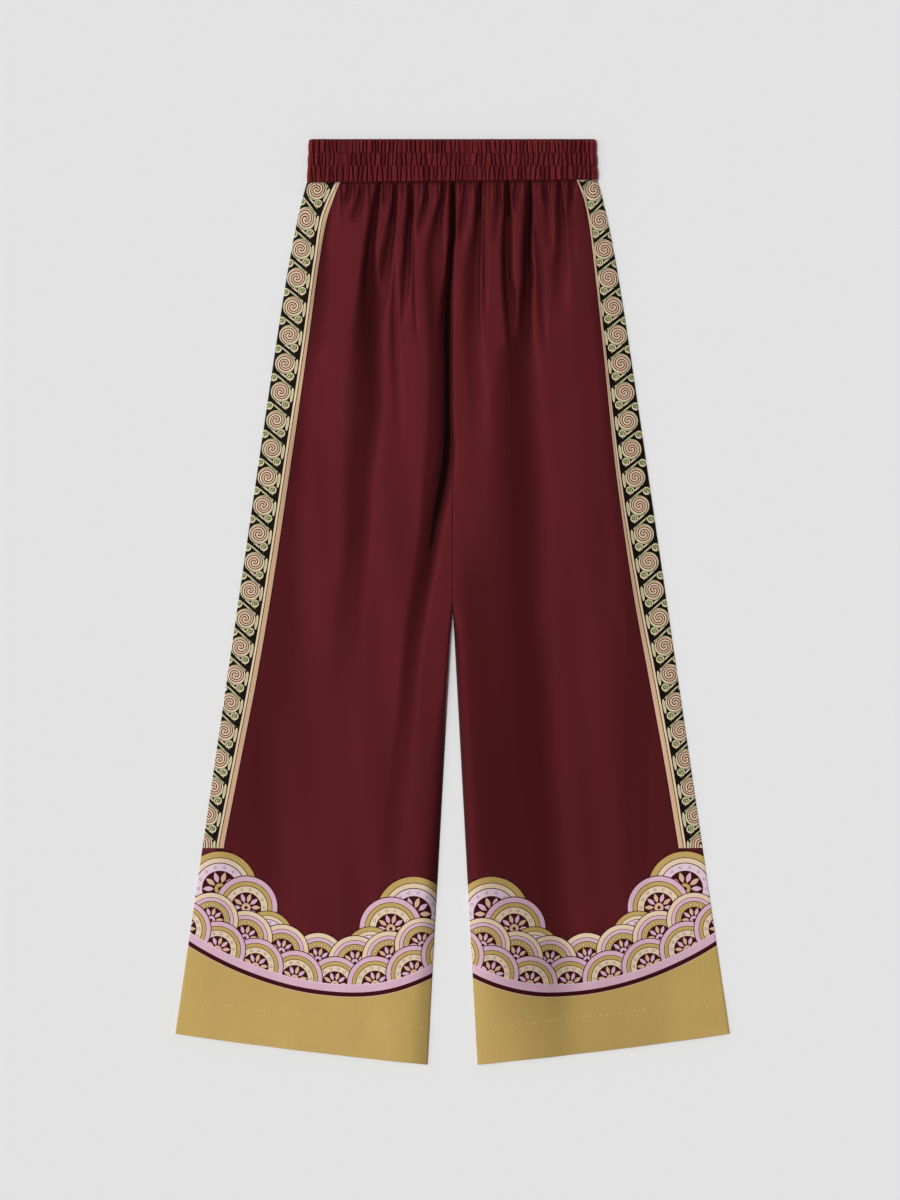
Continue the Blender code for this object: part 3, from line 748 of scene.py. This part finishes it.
# A darker burgundy, painted over the lower legs as shade where the light falls off towards the hem.
SHADED_BURGUNDY = srgb(59, 18, 20)
LOWER_SHADE = (200.0, -150.0)  # Y of where painted shade begins to darken the legs towards the hem, and of where it is full
BAND_BURGUNDY = srgb(106, 36, 38)
WINE = srgb(58, 12, 18)
INK = srgb(20, 12, 8)
LILAC = srgb(216, 176, 194)
PALE_LILAC = srgb(226, 198, 212)
PEACH = srgb(217, 174, 149)
CREAM = srgb(226, 202, 172)
GOLD = srgb(191, 161, 96)
PALE_GOLD = srgb(226, 202, 146)
SAND = srgb(208, 174, 132)
SAGE = srgb(190, 190, 146)
GREEN = srgb(150, 172, 108)
WHITE = srgb(236, 226, 222)

# ---- The side band ----

BAND_STRIPES = ((0, INK), (1, PEACH), (3.6, SAND), (6.2, INK), (7.2, CREAM), (9.6, INK))
BAND_LENGTH = 60.0  # across the band, well past its edge
ROUNDEL_PITCH = 33.05
ROUNDEL_START = 5.8
ROUNDEL_OFF = 26.0
# Radius and rim of a disc, colours of its rim and of its coil's two arms, and the coil's turn and spread. A
# spread over 1 sets the turns further apart towards the centre.
ROUNDEL = (11.6, 0.9, (SAGE, CREAM, PEACH), 4.3, 1.15)
CURL = (4.6, 1.1, (CREAM, SAGE, GREEN), 2.6, 1.0)
CURLS = ((18.0, -2.6), (37.0, 0.7))  # places across and down the band, from the middle between two roundels
COIL_LINE = 0.2  # share of a turn, to each side of the line
OUTLINE = 0.6
# Ribbons from curl to curl: two places on each, half its width, and its colour.
RIBBONS = (
    ((36.0, -3.6), (15.2, 9.5), 0.8, SAGE),
    ((30.0, -5.6), (16.6, 2.6), 0.8, CREAM),
)
LEAF = (12.6, 2.0, 1.7, 8.5)  # place across, and down from a roundel's middle, and its half sizes
LEAF_HEART = 0.72


def coil(paint, across, along, radius, rim, colours, turn, spread):
    """A disc with a dark outline and a plain rim, filled with a two-armed coil."""
    distance = length_of(across, along)
    paint.lay(INK, distance < radius + OUTLINE)
    paint.lay(colours[0], distance < radius)
    arms = distance.math("POWER", spread) / turn - along.math("ARCTAN2", across) / math.pi
    inside = distance < radius - rim
    paint.lay(colours[1], inside)
    paint.lay(colours[2], inside * arms.odd())
    paint.lay(INK, inside * (arms.apart() < COIL_LINE))


def ribbon(paint, across, along, start, end, half, colour):
    """A straight strip with a dark edge."""
    run = (end[0] - start[0], end[1] - start[1])
    length = math.hypot(*run)
    over, down = across - start[0], along - start[1]
    beside = (over * (run[1] / length) - down * (run[0] / length)).math("ABSOLUTE")
    forth = over * (run[0] / length) + down * (run[1] / length)
    within = forth.near(length / 2, length / 2)
    paint.lay(INK, within * (beside < half + OUTLINE))
    paint.lay(colour, within * (beside < half))


def side_band(tree):
    """The printed band along a side seam: two stripes, then coiled roundels with curls between them."""
    off, down = kept(tree, "band_off"), kept(tree, "band_down")
    paint = stepped(off, BAND_LENGTH, BAND_STRIPES)
    along = (down + ROUNDEL_START).wrap(ROUNDEL_PITCH)
    leaf_off, leaf_down, leaf_half, leaf_reach = LEAF
    leaf = length_of((off - leaf_off) / leaf_half, (along - leaf_down) / leaf_reach)
    paint.lay(CREAM, leaf < 1.0)
    paint.lay(SAGE, leaf < LEAF_HEART)
    gap = (down + ROUNDEL_START + ROUNDEL_PITCH / 2).wrap(ROUNDEL_PITCH)
    for start, end, half, colour in RIBBONS:
        ribbon(paint, off, gap, start, end, half, colour)
    for curl_off, curl_down in CURLS:
        coil(paint, off - curl_off, gap - curl_down, *CURL)
    coil(paint, off - ROUNDEL_OFF, along, *ROUNDEL)
    return paint, off


# ---- The hem border ----

STRIP_DEPTH = 8.0
# Strips along the arc: the height over it below which each lies, and its colour.
STRIPS = ((9.0, PALE_LILAC), (STRIP_DEPTH, LILAC), (0.0, WINE), (-5.0, PEACH), (-5.7, GOLD))
ARC_MIDDLE = 160.0  # the distance from the middle of the garment at which the border's own middle lies
ARC_ENDS = (-60.0, 400.0)
ARC_PLACES = 2000
# Rows of fans, from the back: places along the arc, height over it, radius and kind.
FAN_ROWS = (
    ((156,), 70, 44, 2),
    ((113,), 66, 37, 0),
    ((72,), 44, 31, 2),
    ((0, 48, 97, 145), 34, 32, 1),
    ((24, 72.5, 121, 168), 8, 33, 0),
)
# Where each ring of a fan starts, as a share of its radius. The first is dark, the next light, and so on.
RING_STARTS = (0, 0.05, 0.14, 0.47, 0.66, 0.68, 0.80, 0.82, 0.965)
# Colours of the light rings, for each kind of fan.
FAN_COLOURS = (
    (PEACH, CREAM, GOLD, LILAC),
    (LILAC, GOLD, LILAC, CREAM),
    (GOLD, PALE_LILAC, CREAM, GOLD),
)
KIND_REACH = 0.4
PETALS = 10
PETAL_SPAN = (0.16, 0.45)
PETAL_HALF = 0.062
DOTS = 14
DOT_RING = 0.565
DOT_RADII = (1.5, 0.95)


def arc_place(along, height):
    """A place over the arc, at a distance along it from the border's middle."""
    fine = np.linspace(*ARC_ENDS, ARC_PLACES)
    length = np.cumsum(np.hypot(1.0, arc(fine)[1]) * (fine[1] - fine[0]))
    length -= np.interp(ARC_MIDDLE, fine, length)
    foot = float(np.interp(along, length, fine))
    level, slope = (float(value) for value in arc(foot))
    steep = math.hypot(1.0, slope)
    return foot - height * slope / steep, level + height / steep


def fans():
    """Centre, radius and kind of each fan, from the back to the front."""
    for places, height, radius, kind in FAN_ROWS:
        for place in places:
            for along in sorted({-place, place}):
                yield (*arc_place(along, height), radius, kind)


def hem_border(distance, height):
    """The border over the hem: overlapping fans of rings and petals, over a strip that follows the arc."""
    front = (0.0, 0.0, 1.0, 0.0)  # the fan that shows: its centre, radius and kind
    covered = 0.0
    for fan in fans():
        off, up = distance - fan[0], height - fan[1]
        inside = off * off + up * up < fan[2] ** 2
        front = [mixed(behind, value, inside) for behind, value in zip(front, fan)]
        covered = inside.math("MAXIMUM", covered)
    x, y, radius, kinds = front
    off, up = distance - x, height - y
    reach = length_of(off, up)
    share = reach / radius
    for kind, colours in enumerate(FAN_COLOURS):
        steps = [(start, colours[ring // 2] if ring % 2 else WINE) for ring, start in enumerate(RING_STARTS)]
        if kind == 0:
            paint = stepped(share, 1.0, steps)
        else:
            paint.lay(stepped(share, 1.0, steps), kinds.near(kind, KIND_REACH))
    turn = up.math("ARCTAN2", off)
    petals = turn * (PETALS / 2 / math.pi)
    start, end = PETAL_SPAN
    swell = ((share - start) * (math.pi / (end - start))).math("SINE") * PETAL_HALF
    petal = petals.apart() * share * (2 * math.pi / PETALS) < swell
    petal = petal * share.near((start + end) / 2, (end - start) / 2)
    paint.lay(LILAC, petal)
    paint.lay(PEACH, petal * (petals + 0.5).odd())
    dots = turn * (DOTS / 2 / math.pi)
    dot = length_of(dots.apart() * reach * (2 * math.pi / DOTS), reach - radius * DOT_RING)
    paint.lay(WINE, dot < DOT_RADII[0])
    paint.lay(WHITE, dot < DOT_RADII[1])
    return paint, covered


def printed_colour(tree, vector):
    """All of a leg's print."""
    parts = add_node(tree, "SeparateXYZ", {0: vector}).outputs
    distance = Field(parts[0]).math("ABSOLUTE") * (1 / MM)
    height = Field(parts[1]) * (1 / MM)
    over = kept(tree, "over_arc")
    border, covered = hem_border(distance, height)
    band, off = side_band(tree)
    # Painted shade: the legs darken towards the hem.
    low = ((height - LOWER_SHADE[0]) / (LOWER_SHADE[1] - LOWER_SHADE[0])).math("MINIMUM", 1.0).math("MAXIMUM", 0.0)
    paint = Paint(tree, BURGUNDY)
    paint.lay(SHADED_BURGUNDY, low)
    paint.lay(band, (off > 0.0) * (height > SIDE_BAND_END))
    paint.lay(border, covered)
    for height_over, colour in STRIPS:
        paint.lay(colour, over < height_over)
    return paint


# ---- Materials ----

TWILL = 0.42  # from one diagonal line of the weave to the next
TWILL_RISE = 0.012
WEAVE_SWAY = 0.6
SATIN_GLOSS = 1.0
SATIN_ROUGH, PRINT_ROUGH, BAND_ROUGH = 0.5, 0.62, 0.55
SATIN_TINT = (0.45, 0.06, 0.08)  # the colour that its gloss takes
PRINT_TINT = (0.05, 0.045, 0.04)  # and over the print, and where the painted shade is darkest
# Painted shade where the silk lies in creases and between gathers: how much rougher it is there, how dark it
# gets, and how its share is bent.
SHADE_ROUGH = 0.3
SHADE_DARK = 0.93
SHADE_POWER = 1.6
STREAKS = (900.0, 26.0, 900.0)
CLOUDS = (24.0, 13.0, 24.0)
GRAIN_SHADE = (0.10, 0.16)  # how far the streaks and the clouds change the shade, and the roughness
GRAIN_ROUGH = (0.08, 0.06)
SLUB_RISE = 0.02
SLUB_DETAIL = 3.0
BANDS_A_UNIT = 3.2  # of Blender's wave texture, at scale 1
PLY = (5200.0, 5200.0, 5200.0)
PLY_SHADE = (0.5, 0.75)  # how much the ply adds to a thread's shade, and to what
PLY_ROUGH = (0.2, 0.4)
THREAD_GLOSS = 0.3


def new_material(name):
    """A material and its shader."""
    material = bpy.data.materials.new(name)
    material.use_nodes = True
    return material, material.node_tree.nodes["Principled BSDF"]


def place_in(tree):
    """The place on the object, in metres."""
    return add_node(tree, "TexCoord", {}).outputs["Object"]


def shaded(paint, value):
    """A paint or a colour, made lighter or darker."""
    return add_node(value.tree, "HueSaturation", {"Color": paint, "Value": value}).outputs["Color"]


def grained(streak, cloud, shares, middle):
    """A number that changes evenly round its middle with the streaks and the clouds."""
    return streak * shares[0] + cloud * shares[1] + (middle - sum(shares) / 2)


def weave(vector):
    """The fine diagonal lines of a twill, as a height in metres."""
    entries = {"Vector": vector, "Scale": 1.0 / (TWILL * MM) / BANDS_A_UNIT, "Distortion": WEAVE_SWAY}
    wave = add_node(vector.id_data, "TexWave", entries, wave_type="BANDS", bands_direction="DIAGONAL")
    return Field(wave.outputs["Fac"]) * (TWILL_RISE * MM)


def silk(name, plain, roughness, tint):
    """Washed silk satin, with painted shade in its colour where creases and gathers lie, and rougher there.
    Without a plain colour it carries the legs' print.
    """
    material, shader = new_material(name)
    tree = material.node_tree
    vector = place_in(tree)
    tuck_and_shade = kept(tree, "tuck_and_shade")
    streak, cloud = noise(vector, STREAKS), noise(vector, CLOUDS)
    light = tuck_and_shade.math("POWER", SHADE_POWER) * -SHADE_DARK + 1.0
    rise = weave(vector) + noise(vector, STREAKS, SLUB_DETAIL) * (SLUB_RISE * MM)
    bump = add_node(tree, "Bump", {"Height": rise, "Distance": 1.0, "Strength": 1.0})
    paint = plain or printed_colour(tree, vector)
    entries = {
        "Base Color": shaded(paint, light * grained(streak, cloud, GRAIN_SHADE, 1.0)),
        "Roughness": grained(streak, cloud, GRAIN_ROUGH, roughness) + tuck_and_shade * SHADE_ROUGH,
        "Normal": bump.outputs["Normal"],
        "Specular IOR Level": SATIN_GLOSS,
        "Specular Tint": tint,
    }
    feed(shader, entries)
    return material


def thread(name, colour):
    """Sewing thread, twisted."""
    material, shader = new_material(name)
    ply = noise(place_in(material.node_tree), PLY)
    entries = {
        "Base Color": shaded(colour, ply * PLY_SHADE[0] + PLY_SHADE[1]),
        "Roughness": ply * PLY_ROUGH[0] + PLY_ROUGH[1],
        "Specular IOR Level": THREAD_GLOSS,
    }
    feed(shader, entries)
    return material


# ---- Panels ----

FRONT_COLUMNS = 250
BACK_COLUMNS = 96
ROW_STEPS = (1.0, 4.6)  # at the waist seam, and further down
ROW_STEPS_GROW = (0, 300)
HEM_ROW_STEP = 1.8
HEM_ROWS_BEGIN = (936, 950)
LAST_ROW_SHARE = 0.45  # the most of what is left that a row takes
LAST_ROW_STEP = 0.25


def panel_drops(scale=1.0):
    """Drops of a panel's rows, close together at the waist seam and at the hem."""
    drops = [-TONGUE]
    while drops[-1] < LEG_LENGTH:
        drop = drops[-1]
        step = blend(*ROW_STEPS, float(smooth_step(*ROW_STEPS_GROW, drop)))
        step = blend(step, HEM_ROW_STEP, float(smooth_step(*HEM_ROWS_BEGIN, drop))) * scale
        step = max(min(step, LAST_ROW_SHARE * (LEG_LENGTH - drop)), LAST_ROW_STEP)
        drops.append(min(drop + step, LEG_LENGTH))
    return np.array(drops)


def thinned(grid, step):
    """Every so many rows and columns of a grid, with its last ones."""
    rows, columns = (list(range(0, size - 1, step)) + [size - 1] for size in grid.shape[:2])
    return grid[rows][:, columns]


def front_panel(side_name, materials):
    """The front of one leg."""
    at = Spots(SIDES[side_name], FRONT_COLUMNS, panel_drops())
    top, tuck_and_shade = front_top(at)
    under = front_under(at, top)
    upper, lower = surface(at, top), thinned(surface(at, under), UNDER_STEP)
    piece = sheet_between(f"front_{side_name}_silk", upper, lower, tuck_and_shade, materials)
    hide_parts(f"front_{side_name}")
    return piece, at, top


def back_panel(side_name, materials):
    """The back of one leg, under its front."""
    at = Spots(SIDES[side_name], BACK_COLUMNS, panel_drops(scale=2.0), inset=BACK_INSET)
    under = back_under(at)
    top = under + cloth_thickness(at.drop)
    upper, lower = surface(at, top), surface(at, under)
    piece = sheet_between(f"back_{side_name}_silk", upper, lower, np.zeros_like(top), materials)
    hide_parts(f"back_{side_name}")
    return piece


# ---- The waistband ----

CHANNELS = (16.6, 14.4)  # depth of the upper two channels of elastic; the third takes the rest
BAND_WALL = 1.6
BAND_SLIT = 2.2
BAND_SLIT_INSET = 4.0  # from each side of the waistband to the end of the slit inside it
CHANNEL_STEPS = 15
BAND_COLUMNS = 1000
BAND_BACK_COLUMNS = 300
BAND_SIDE_ROUND = 3.4
BAND_SIDE_STEPS = 8
BAND_SWELL = 0.6
BAND_CORNER = 2.4
BAND_PITCH = (3.4, 7.2)
BAND_LEAN = 2.2
BAND_VIGOUR = (0.55, 1.0)  # share of the full height that a gather has
BAND_ROUND = 0.55
BAND_SMALL_PITCH = (1.9, 4.2)  # a second, smaller size of gather
BAND_SMALL_ROUND = 0.6
BAND_SMALL = 0.5
BAND_SPAN = WAIST_HALF_SEAM + 8.0
FRONT_SEED, BACK_SEED = 70, 90
LEAN_SEED, SMALL_SEED = 10, 20  # added to either of them
BAND_LOW = 0.8  # cloth over the slit, at the stitching
BAND_SWELLS = 0.5  # and how far it rises between two lines of stitching
BAND_RIDGE = (1.8, 3.9)  # height of a gather, at the stitching and between
BULGE_ROUND = 0.6
BAND_BACK_RIDGE = 0.7
BAND_BACK_BULGE = 0.4  # share of a back gather's height that is left at the stitching
BAND_TOP_WAVE = 0.7
BAND_TOP_LEVEL = 0.6  # height of a gather, 0 to 1, at which the top edge is neither raised nor lowered
BAND_TOP_FADE = 0.25
BAND_TOP_EDGE = (0.35, 2.0)  # share of the height that is left at an edge, and how wide that edge is rounded
BAND_SEAM_EDGE = (0.45, 1.2)
BAND_SHADE = (0.14, 0.79)  # how low between two gathers the shade begins, and where it is full
BAND_LOW_SHADE = 0.13  # how much of that shade the lowest channel has all over
SEAM_ALLOWANCE = (0.62, 0.74)  # shares of the way down the lowest channel in which its seam allowance begins
ALLOWANCE_BULGE = 0.45
# Smooth places: from and to, the channels, and the share of the gathers that is left.
SMOOTH = ((-132.0, -119.0, (0, 1), 0.25), (14.0, 23.0, (0, 1, 2), 0.25))
SMOOTH_EDGE = (1.5, 1.0)  # how far such a place fades outwards and inwards
SMOOTH_LEVEL = 0.34


def channel_depth(channel, x):
    """Depth of a channel. The lowest ends at the aslant seam."""
    return CHANNELS[channel] if channel < len(CHANNELS) else WAIST_TOP - seam_y(x) - sum(CHANNELS)


def band_y(channel, share, x):
    """Y of a row of the waistband."""
    return WAIST_TOP - sum(CHANNELS[:channel]) - channel_depth(channel, x) * share


def channel_ridge(channel, share, x, seed):
    """Height of the gathers of a channel, 0 to 1. They lean a little, each its own way."""
    places = uneven_places(-BAND_SPAN, BAND_SPAN, BAND_PITCH, seed + channel)
    chance = np.random.default_rng(seed + LEAN_SEED + channel)
    leans = chance.uniform(-BAND_LEAN, BAND_LEAN, len(places))
    vigour = chance.uniform(*BAND_VIGOUR, len(places))
    index, ridge = ridges(places + leans * (share - 0.5), x, BAND_ROUND)
    small = uneven_places(places[0], places[-1], BAND_SMALL_PITCH, seed + SMALL_SEED + channel)
    _, small_ridge = ridges(small - leans[0] * (share - 0.5), x, BAND_SMALL_ROUND)
    ridge *= vigour[index] * (1.0 - BAND_SMALL * (1.0 - small_ridge))
    out, into = SMOOTH_EDGE
    for start, end, channels, left in SMOOTH:
        if channel in channels:
            inside = smooth_step(start - out, start + into, x) * (1.0 - smooth_step(end - into, end + out, x))
            ridge = blend(ridge, SMOOTH_LEVEL + left * ridge, inside)
    return ridge


def band_edge(edge, distance):
    """Share of the height that is left at a distance from an edge of the waistband."""
    return blend(edge[0], 1.0, rounding(distance, edge[1]))


def band_front_z(channel, share, x):
    """Height of the front of the waistband."""
    bulge = max(math.sin(math.pi * share), 0.0) ** BULGE_ROUND
    edge = 1.0
    if channel == 0:
        edge = band_edge(BAND_TOP_EDGE, share * CHANNELS[0])
    if channel == len(CHANNELS):
        bulge = blend(bulge, ALLOWANCE_BULGE, float(smooth_step(*SEAM_ALLOWANCE, share)))
        edge = band_edge(BAND_SEAM_EDGE, (1.0 - share) * channel_depth(channel, 0.0))
    ridge = channel_ridge(channel, share, x, FRONT_SEED)
    height = BAND_LOW + BAND_SWELLS * bulge + blend(*BAND_RIDGE, bulge) * ridge
    return BAND_WALL + BAND_SLIT + height * edge


def band_back_z(channel, share, x):
    """Height of the back of the waistband, whose gathers rest on the table."""
    bulge = blend(BAND_BACK_BULGE, 1.0, max(math.sin(math.pi * share), 0.0) ** BULGE_ROUND)
    return BAND_BACK_RIDGE * (1.0 - channel_ridge(channel, share, x, BACK_SEED) * bulge)


def band_half(channel, share):
    """Half width of the waistband at a row, with each channel swelling out at the sides."""
    down = (WAIST_TOP - band_y(channel, share, 0.0)) / (WAIST_TOP - SEAM)
    corner = BAND_CORNER * (1.0 - rounding(share * CHANNELS[0], BAND_CORNER)) if channel == 0 else 0.0
    return blend(WAIST_HALF_TOP, WAIST_HALF_SEAM, down) + BAND_SWELL * math.sin(math.pi * share) - corner


def band_rows():
    """Rows down the waistband, each as its channel and the share of the way down it."""
    shares = 0.5 - 0.5 * np.cos(np.linspace(0.0, math.pi, CHANNEL_STEPS + 1))
    rows = [(channel, share) for channel in range(len(CHANNELS) + 1) for share in shares[:-1]]
    return rows + [(len(CHANNELS), 1.0)]


def row_points(channel, share, x, z):
    """Points of a row of the waistband."""
    return np.stack([x, band_y(channel, share, x) + 0.0 * x, z + 0.0 * x], axis=-1)


def side_fold(channel, share, half, front_z, back_z, side):
    """The rounded fold at a side of the waistband, from its front down to its back."""
    turn = np.linspace(0.0, math.pi, BAND_SIDE_STEPS + 1)
    x = side * (half + BAND_SIDE_ROUND * np.sin(turn))
    return row_points(channel, share, x, (front_z + back_z) / 2 + (front_z - back_z) / 2 * np.cos(turn))


def band_ring(channel, share):
    """The closed row of points round the outside of the waistband."""
    half = band_half(channel, share) - BAND_SIDE_ROUND
    x = np.linspace(-half, half, BAND_COLUMNS + 1)
    front = row_points(channel, share, x, band_front_z(channel, share, x))
    if channel == 0:
        lift = BAND_TOP_WAVE * (channel_ridge(0, 0.0, x, FRONT_SEED) - BAND_TOP_LEVEL)
        front[:, 1] += lift * (1.0 - smooth_step(0.0, BAND_TOP_FADE, share))
    x = np.linspace(half, -half, BAND_BACK_COLUMNS + 1)
    back = row_points(channel, share, x, band_back_z(channel, share, x))
    right = side_fold(channel, share, half, front[-1, 2], back[0, 2], 1)
    left = side_fold(channel, share, half, front[0, 2], back[-1, 2], -1)[::-1]
    return np.concatenate([front[:-1], right[:-1], back[:-1], left[:-1]])


def inner_ring(channel, share):
    """The closed row of points round the inside of the waistband."""
    half = band_half(channel, share) - BAND_SLIT_INSET
    front = row_points(channel, share, np.linspace(-half, half, BAND_COLUMNS + 1), BAND_WALL + BAND_SLIT)
    back = row_points(channel, share, np.linspace(half, -half, BAND_BACK_COLUMNS + 1), BAND_WALL)
    return np.concatenate([front, back])


def ring_grid(rings, start):
    """Vertices of a stack of closed rows, from a first number, and the faces between the rows."""
    index = start + np.arange(rings[..., 0].size).reshape(rings.shape[:2])
    return index, grid_faces(np.concatenate([index, index[:, :1]], axis=1))


def ring_parts(start, counts):
    """The stretches of a closed row of vertices, each ending where the next begins."""
    total = sum(counts)
    place = 0
    for count in counts:
        yield [start + (place + step) % total for step in range(count + 1)]
        place += count


def waistband(material):
    """The waistband: a flattened ring of shirred cloth."""
    rows = band_rows()
    outer = np.stack([band_ring(*row) for row in rows])
    index, faces = ring_grid(outer, 0)
    inner = np.stack([inner_ring(*rows[0]), inner_ring(*rows[-1])])
    inner_index, inner_faces = ring_grid(inner, index.size)
    faces += inner_faces
    outer_counts = (BAND_COLUMNS, BAND_SIDE_STEPS, BAND_BACK_COLUMNS, BAND_SIDE_STEPS)
    inner_counts = (BAND_COLUMNS, 1, BAND_BACK_COLUMNS, 1)
    for row, inner_row in ((0, 0), (-1, 1)):
        outer_parts = ring_parts(int(index[row, 0]), outer_counts)
        inner_parts = ring_parts(int(inner_index[inner_row, 0]), inner_counts)
        for outer_part, inner_part in zip(outer_parts, inner_parts):
            join_rows(faces, outer_part, inner_part)
    points = np.concatenate([outer.reshape(-1, 3), inner.reshape(-1, 3)])
    piece = new_piece("waistband_silk", points, faces, [material])
    # Shade painted between the gathers of the waistband's front, and a little over all of its lowest channel.
    tuck_and_shade = np.zeros(len(points))
    for row, (channel, share) in enumerate(rows):
        front = index[row, : BAND_COLUMNS + 1]
        shade = smooth_step(*BAND_SHADE, 1.0 - channel_ridge(channel, share, points[front, 0], FRONT_SEED))
        tuck_and_shade[front] = blend(BAND_LOW_SHADE, 1.0, shade) if channel == len(CHANNELS) else shade
    keep_field(piece, "tuck_and_shade", tuck_and_shade)
    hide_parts("waistband")
    return piece


# ---- Sewing ----

STITCH_PITCH = 2.6
STITCH = (1.7, 0.42, 0.22)  # length, width and rise
PRICK_PITCH = (3.6, 9.0)
PRICK = (1.7, 0.9, 0.4)
PRICK_INSETS = (8.0, 10.0)  # from the leg's inner edge and its side seam to the first and the last
STITCH_SHOULDER = 0.25  # share of its length from a stitch's middle to where it is widest
STITCH_LINES = ((0, 1.0), (1, 1.0), (2, 0.9))  # each as a channel and a share of the way down it
STITCH_INSET = 1.0
STITCH_LIFTS = ((band_front_z, 0.05), (band_back_z, 0.0))
PRICK_LIFT = 0.02
PRICK_SEED = 110


def stitches(name, seats, size, material):
    """A run of stitches along X at some seats, joined as one mesh."""
    length, width, rise = size
    rim = ((width / 2, 0.0), (0.0, rise), (-width / 2, 0.0), (0.0, -rise))
    points, faces = [], []
    for x, y, z in seats:
        start = len(points)
        points += [(x - length / 2, y, z), (x + length / 2, y, z)]
        for past in (x - length * STITCH_SHOULDER, x + length * STITCH_SHOULDER):
            points += [(past, y + over, z + up) for over, up in rim]
        first, second = range(start + 2, start + 6), range(start + 6, start + 10)
        for step in range(4):
            after = (step + 1) % 4
            faces.append((start, first[after], first[step]))
            faces.append((start + 1, second[step], second[after]))
            faces.append((first[step], first[after], second[after], second[step]))
    return new_piece(name, points, faces, [material])


def band_seats():
    """Seats of the stitches along the channels' two lines and beside the seam, on the front and the back."""
    for channel, share in STITCH_LINES:
        half = band_half(channel, share) - BAND_SIDE_ROUND - STITCH_INSET
        for x in np.arange(-half, half, STITCH_PITCH):
            y = float(band_y(channel, share, x))
            for height, lift in STITCH_LIFTS:
                yield x, y, float(height(channel, share, np.array([x]))[0]) + lift


def hem_seats(at, top):
    """Seats of the blind stitching that holds the hem, which barely catches the face."""
    row = int(np.argmin(np.abs(at.drop[:, 0] - HEM_TURN_DROP)))
    width = at.outwards[row, 0] + at.inwards[row, 0]
    for place in uneven_places(PRICK_INSETS[0], width - PRICK_INSETS[1], PRICK_PITCH, PRICK_SEED + at.side):
        column = int(np.argmin(np.abs(at.inwards[row] - place)))
        yield at.x[row, column], at.y[row, column], top[row, column] + PRICK_LIFT


# ---- Studio ----

FLOOR_HALF = 20.0
PAPER = (0.80, 0.80, 0.80)
PAPER_ROUGH = 0.9
VIEW_HEIGHT = 1.38  # what the picture's height takes in, at the cloth
LENS = 100.0
SENSOR = 36.0
VIEW_MIDDLE = (-0.0029, 0.0023)
CLOTH_LEVEL = 0.005
# Name, strength, angle round from +X, elevation and angular size of each light, in degrees.
LIGHTS = (
    ("key", 2.0, 168.0, 72.0, 25.0),
    ("side", 0.5, 172.0, 35.0, 50.0),
)
WORLD = 0.26


def studio():
    """A pale floor, soft lights and a camera straight overhead."""
    scene = bpy.context.scene
    bpy.ops.mesh.primitive_plane_add(size=2 * FLOOR_HALF, location=(0, 0, 0))
    floor = bpy.context.object
    floor.name = "floor"
    paper, shader = new_material("paper")
    feed(shader, {"Base Color": PAPER, "Roughness": PAPER_ROUGH, "Specular IOR Level": 0.0})
    floor.data.materials.append(paper)
    for name, strength, azimuth, elevation, size in LIGHTS:
        lamp = bpy.data.lights.new(name, "SUN")
        lamp.energy = strength
        lamp.angle = math.radians(size)
        light = bpy.data.objects.new(name, lamp)
        light.rotation_euler = (0.0, math.radians(90 - elevation), math.radians(azimuth))
        scene.collection.objects.link(light)
    scene.world = bpy.data.worlds.new("studio")
    scene.world.use_nodes = True
    feed(scene.world.node_tree.nodes["Background"], {"Color": (1.0, 1.0, 1.0), "Strength": WORLD})
    scene.view_settings.view_transform = "Standard"
    view = bpy.data.cameras.new("camera")
    view.lens = LENS
    view.sensor_width = SENSOR
    scene.camera = bpy.data.objects.new("camera", view)
    scene.camera.location = (*VIEW_MIDDLE, CLOTH_LEVEL + VIEW_HEIGHT * LENS / SENSOR)
    scene.collection.objects.link(scene.camera)


studio()
leg_silks = (
    silk("burgundy_silk", None, SATIN_ROUGH, SATIN_TINT),
    # Also laid where the painted shade is darkest, so that the gloss is dim there.
    silk("printed_silk", None, PRINT_ROUGH, PRINT_TINT),
)
band_silk = silk("waistband_silk", BAND_BURGUNDY, BAND_ROUGH, SATIN_TINT)
dark_thread = thread("dark_thread", WINE)
gold_thread = thread("gold_thread", PALE_GOLD)

band = waistband(band_silk)
band_sewing = stitches("waistband_stitches", band_seats(), STITCH, dark_thread)
for side_name in SIDES:
    back = back_panel(side_name, leg_silks)
    front, at, top = front_panel(side_name, leg_silks)
    name = f"hem_{side_name}_stitches"
    hem_sewing = stitches(name, hem_seats(at, top), PRICK, gold_thread)
